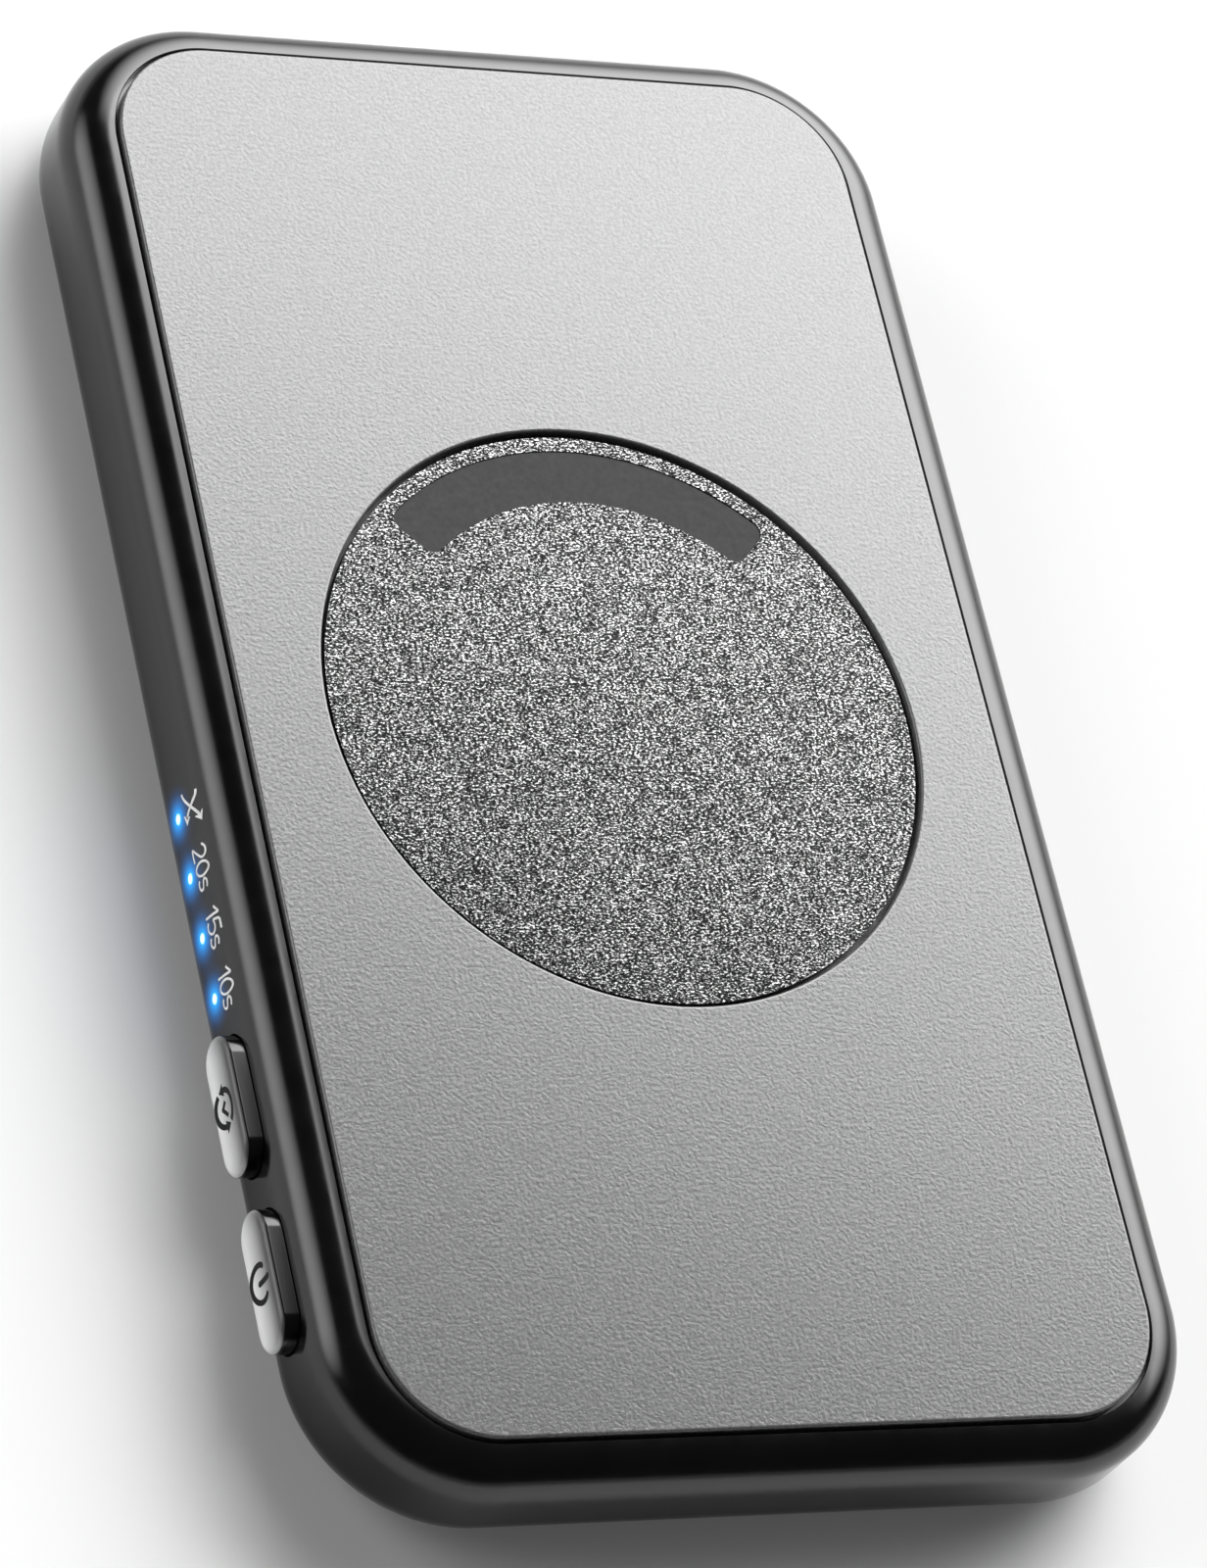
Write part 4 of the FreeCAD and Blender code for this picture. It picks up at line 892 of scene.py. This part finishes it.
def powerIcon():
    # ring open at the top with a bar through the opening, both with round ends
    centre, stroke = iconForm["centre"], iconForm["stroke"]
    bar = np.linspace(*iconForm["bar"], 5) + centre
    ring = arcPath(iconForm["ring"], *iconForm["openRing"], 60) + centre
    solids = [strokeSolid(ring, stroke), strokeSolid(bar, stroke)]
    cap = arcPath(stroke / 2, 0, 340, 18)
    for end in (ring[0], ring[-1], bar[0], bar[-1]):
        solids.append(upright(cap + end, -strokeForm["depth"], strokeForm["lift"]))
    return solids


for name, icon in (("timer", timerIcon()), ("power", powerIcon())):
    middle = keyMiddles[name + "_button"]
    makePiece(name + "Key", [keyCap(middle)], capFinish, name + "_button", name + "_button", 40)
    makePiece(name + "Icon", [onKey(solid, middle) for solid in icon], iconInk, name + "_button")
print("keys")


# legends beside the lights
legendForm = {
    "bottom": 6.75,  # height of the foot of the figures
    "figure": 2.35,  # height of a figure
    "stroke": 0.21,
    "slant": 0.16,  # how far the top of a figure leans forward, as a share of its height
    "depth": 0.08,  # how far a stroke sinks into the case
}
shuffleForm = {
    "middle": 1.35,  # height of the crossing above the foot of the figures
    "reach": 1.1,  # from there to the top of a line
    "lean": 0.14,
    "length": 2.55,
    "back": 1.27,  # from the mark's middle to its rear end
    "stroke": 1.25,  # in strokes of a figure
    "end": 0.86,  # share of the half wave that a line follows
    "tip": (1.42, 1.05),  # forward from the middle, and up or down in reaches
    "headSlope": 0.35,
    "headLength": 0.75,
    "headWidth": 1.1,
}


def ellipse(u, v, radiusU, radiusV, start, end, steps=30):
    # arc of a unit circle times the two radii, about the point u, v
    return arcPath(1, start, end, steps) * (radiusU, radiusV) + (u, v)


def figurePaths():
    # middle line of each figure and its width, for a figure height of 1
    hook = ellipse(0.28, 0.7, 0.23, 0.25, 165, -40)
    bowl = ellipse(0.28, 0.33, 0.24, 0.28, 120, -145)
    bends = [ellipse(0.23, 0.53, 0.17, 0.15, 25, 230, 16), ellipse(0.23, 0.22, 0.19, 0.17, 50, -155, 16)]
    return {
        "0": (ellipse(0.29, 0.5, 0.24, 0.45, -90, 270, 50), 0.58),
        "1": (np.array([(0.04, 0.72), (0.3, 0.96), (0.3, 0.04)]), 0.4),
        "2": (np.concatenate([hook, [(0.05, 0.05), (0.55, 0.05)]]), 0.58),
        "5": (np.concatenate([[(0.5, 0.94), (0.12, 0.94), (0.07, 0.5)], bowl]), 0.58),
        "s": (np.concatenate(bends), 0.44),
    }


def evenPath(path, step=0.07, soften=3):
    # points at even steps along a path, each then the mean of its neighbours, so that corners come out round
    lengths = np.concatenate([[0], np.cumsum(np.linalg.norm(np.diff(path, axis=0), axis=1))])
    places = np.linspace(0, lengths[-1], int(lengths[-1] / step) + 2)
    even = np.stack([np.interp(places, lengths, path[:, axis]) for axis in (0, 1)], 1)
    padded = np.concatenate([np.repeat(even[:1], soften, 0), even, np.repeat(even[-1:], soften, 0)])
    windows = np.lib.stride_tricks.sliding_window_view(padded, 2 * soften + 1, axis=0)
    even[1:-1] = windows.mean(-1)[1:-1]
    return even


def figures(text):
    # strokes of a row of figures in u, v and height, centred on u = 0
    size, paths = legendForm["figure"], figurePaths()
    start = -sum(paths[letter][1] for letter in text) * size / 2
    solids = []
    for letter in text:
        line, width = paths[letter]
        path = evenPath(line * size + (start, 0))
        solids.append(strokeSolid(path, legendForm["stroke"], legendForm["depth"]))
        start += width * size
    return solids


def shuffleMark():
    # two lines that cross in an S and end in arrow heads: the height follows a cosine over half a wave
    share = np.linspace(0, shuffleForm["end"], 30)
    middle, reach, lean = shuffleForm["middle"], shuffleForm["reach"], shuffleForm["lean"]
    tipU, tipShare = shuffleForm["tip"]
    solids = []
    for side in (1, -1):
        rise = side * reach * np.cos(math.pi * share)
        along = shuffleForm["length"] * share - shuffleForm["back"] + lean * rise
        line = np.stack([along, middle + rise], 1)
        solids.append(strokeSolid(line, legendForm["stroke"] * shuffleForm["stroke"], legendForm["depth"]))
        tip = (tipU - side * lean * reach, middle - side * reach * tipShare)
        heading = (1, -side * shuffleForm["headSlope"])
        solids.append(arrowHead(tip, heading, shuffleForm["headLength"], shuffleForm["headWidth"]))
    return solids


def onWall(solid, y):
    # u runs towards the front, v up; the left wall and its top round give x at each height
    points, faces = solid
    edge = caseForm["edgeRound"]
    z = legendForm["bottom"] + points[:, 1]
    rise = np.clip(z - (caseHigh[2] - edge), 0, edge)
    inset = edge - np.sqrt(edge**2 - rise**2)
    along = points[:, 0] + legendForm["slant"] * points[:, 1]
    return turnedOut(np.column_stack([caseLow[0] + inset - points[:, 2], y - along, z]), faces)


marks = [figures("10s"), figures("15s"), figures("20s"), shuffleMark()]
legends = [onWall(solid, y) for y, solids in zip(lightYs, marks) for solid in solids]
makePiece("lightLegends", legends, legendInk)
print("legends")


# contacts in the charging socket
contactForm = {
    "count": 12,
    "reach": 2.75,  # from the middle to the outermost strips
    "halfWidth": 0.12,
    "inner": 2.6,  # from the tongue's outer end to the inner and outer ends of a strip
    "outer": 0.35,
    "level": 0.35,  # from the socket's middle height to the middle of a strip
    "halfThick": 0.02,
}


def usbContacts():
    # a row of short gold strips on both faces of the tongue
    middleZ = (socketHigh[2] + socketLow[2]) / 2
    inner, outer = tongueEnd - contactForm["inner"], tongueEnd - contactForm["outer"]
    halfWidth, halfThick = contactForm["halfWidth"], contactForm["halfThick"]
    solids = []
    for x in np.linspace(-contactForm["reach"], contactForm["reach"], contactForm["count"]):
        for side in (1, -1):
            z = middleZ + side * contactForm["level"]
            solids.append(box((x - halfWidth, inner, z - halfThick), (x + halfWidth, outer, z + halfThick)))
    return solids


makePiece("usbContacts", usbContacts(), contactGold)
print("contacts")


# floor, light and camera
stageForm = {
    "floorRadius": 5.0,
    "floorSteps": 96,
    "floorColour": 0.95,
    "floorGlow": 0.05,
    "keyLight": {"towards": (0.538, 0.539, 0.649), "edge": 45.6, "power": 1.66, "strength": 12.0},
    "shade": {"towards": (0.35, 0.652, -0.672), "from": -0.132, "to": -0.062},  # edge across the key light
    "sideLight": {"towards": (-0.85, 0.43, 0.27), "edge": 30, "power": 1.0, "strength": 4.6},
    "horizon": {"towards": (0, 0, 1), "from": -0.08, "to": 0.26},  # soft lower edge of the side light
    "rimLight": {"towards": (0.33, 0.45, 0.83), "edge": 14, "power": 1.0, "strength": 8.0},
    "rimEdge": {"towards": (-1, 0, 0), "from": -0.37, "to": -0.22},  # keeps the rim light off the panel
    "bandStrength": 0.6,  # low band all round the horizon
    "bandTop": 0.25,  # where it ends, and where it has its full strength
    "bandFull": 0.04,
    "rest": 0.05,  # the sky above the band
}


def makeFloor():
    # flat disc; it glows a little to the camera and in reflections, and lights nothing
    count = stageForm["floorSteps"]
    angles = np.linspace(0, 2 * math.pi, count, endpoint=False)
    ring = np.stack([np.cos(angles), np.sin(angles), angles * 0], 1) * stageForm["floorRadius"]
    mesh = bpy.data.meshes.new("floor")
    mesh.from_pydata(ring.tolist(), [], [list(range(count))])
    piece = bpy.data.objects.new("floor", mesh)
    bpy.context.scene.collection.objects.link(piece)
    plain = {"Base_Color": (stageForm["floorColour"],) * 3 + (1,), "Emission_Color": (1, 1, 1, 1)}
    material, tree, shader = startFinish("floorPaper", Roughness=1.0, Specular_IOR_Level=0.0, **plain)[:3]
    mesh.materials.append(material)
    ray = addNode(tree, "LightPath").outputs
    seen = calculate(tree, "MAXIMUM", ray["Is Camera Ray"], ray["Is Glossy Ray"])
    seen = calculate(tree, "MAXIMUM", seen, ray["Is Transmission Ray"])
    connect(tree, shader, Emission_Strength=calculate(tree, "MULTIPLY", seen, stageForm["floorGlow"]))


def softLight(tree, sky, form):
    # soft patch of sky: the strength times the share of the way from the patch's edge to its middle, raised
    # to a power
    facing = compare(tree, "DOT_PRODUCT", sky, Vector(form["towards"]).normalized())
    share = spread(tree, facing, 0.0, 1.0, math.cos(math.radians(form["edge"])), 1.0)
    shaped = calculate(tree, "POWER", share, form["power"])
    return calculate(tree, "MULTIPLY", shaped, form["strength"])


def softEdge(tree, sky, form):
    # straight edge across the sky, from 0 to 1 by the height above a plane through its middle
    facing = compare(tree, "DOT_PRODUCT", sky, form["towards"])
    return spread(tree, facing, 0.0, 1.0, form["from"], form["to"], interpolation_type="SMOOTHSTEP")


def makeStudio():
    # sky: a low band round the horizon, plus three soft patches, each times its own straight edge
    world = bpy.data.worlds.new("studio")
    bpy.context.scene.world = world
    world.use_nodes = True
    tree = world.node_tree
    tree.nodes.clear()
    sky = addNode(tree, "TexCoord").outputs["Generated"]
    height = addNode(tree, "SeparateXYZ", {0: sky}).outputs["Z"]
    levels = [stageForm[key] for key in ("rest", "bandStrength", "bandTop", "bandFull")]
    total = spread(tree, height, *levels, interpolation_type="SMOOTHSTEP")
    for name, edgeName in (("keyLight", "shade"), ("sideLight", "horizon"), ("rimLight", "rimEdge")):
        patch = softLight(tree, sky, stageForm[name])
        light = calculate(tree, "MULTIPLY", patch, softEdge(tree, sky, stageForm[edgeName]))
        total = calculate(tree, "ADD", total, light)
    background = addNode(tree, "Background", {"Strength": total})
    addNode(tree, "OutputWorld", {"Surface": background.outputs[0]})


viewForm = {
    "target": (-0.00364, -0.00651, 0.01205),
    "azimuth": -46.7147,
    "elevation": 51.1688,
    "distance": 0.50191,
    "roll": 40.4165,
    "lens": 147.01,
    "sensor": 36,
    "nearest": 0.01,  # nothing closer than this is drawn
}


def makeCamera():
    # the camera looks at the target from the given direction, then rolls about its own line of sight
    azimuth, elevation, roll = [math.radians(viewForm[key]) for key in ("azimuth", "elevation", "roll")]
    flat = math.cos(elevation)
    back = Vector((math.sin(azimuth) * flat, -math.cos(azimuth) * flat, math.sin(elevation)))
    level = Vector((0, 0, 1)).cross(back).normalized()
    right = level * math.cos(roll) + back.cross(level) * math.sin(roll)
    turned = Matrix((right, back.cross(right), back)).transposed().to_4x4()
    camera = bpy.data.objects.new("camera", bpy.data.cameras.new("camera"))
    bpy.context.scene.collection.objects.link(camera)
    camera.data.lens = viewForm["lens"]
    camera.data.sensor_width = viewForm["sensor"]
    camera.data.clip_start = viewForm["nearest"]
    place = Vector(viewForm["target"]) + back * viewForm["distance"]
    camera.matrix_world = Matrix.Translation(place) @ turned
    bpy.context.scene.camera = camera


makeFloor()
makeStudio()
makeCamera()
bpy.context.scene.view_settings.view_transform = "Standard"
print("floor, light and camera")
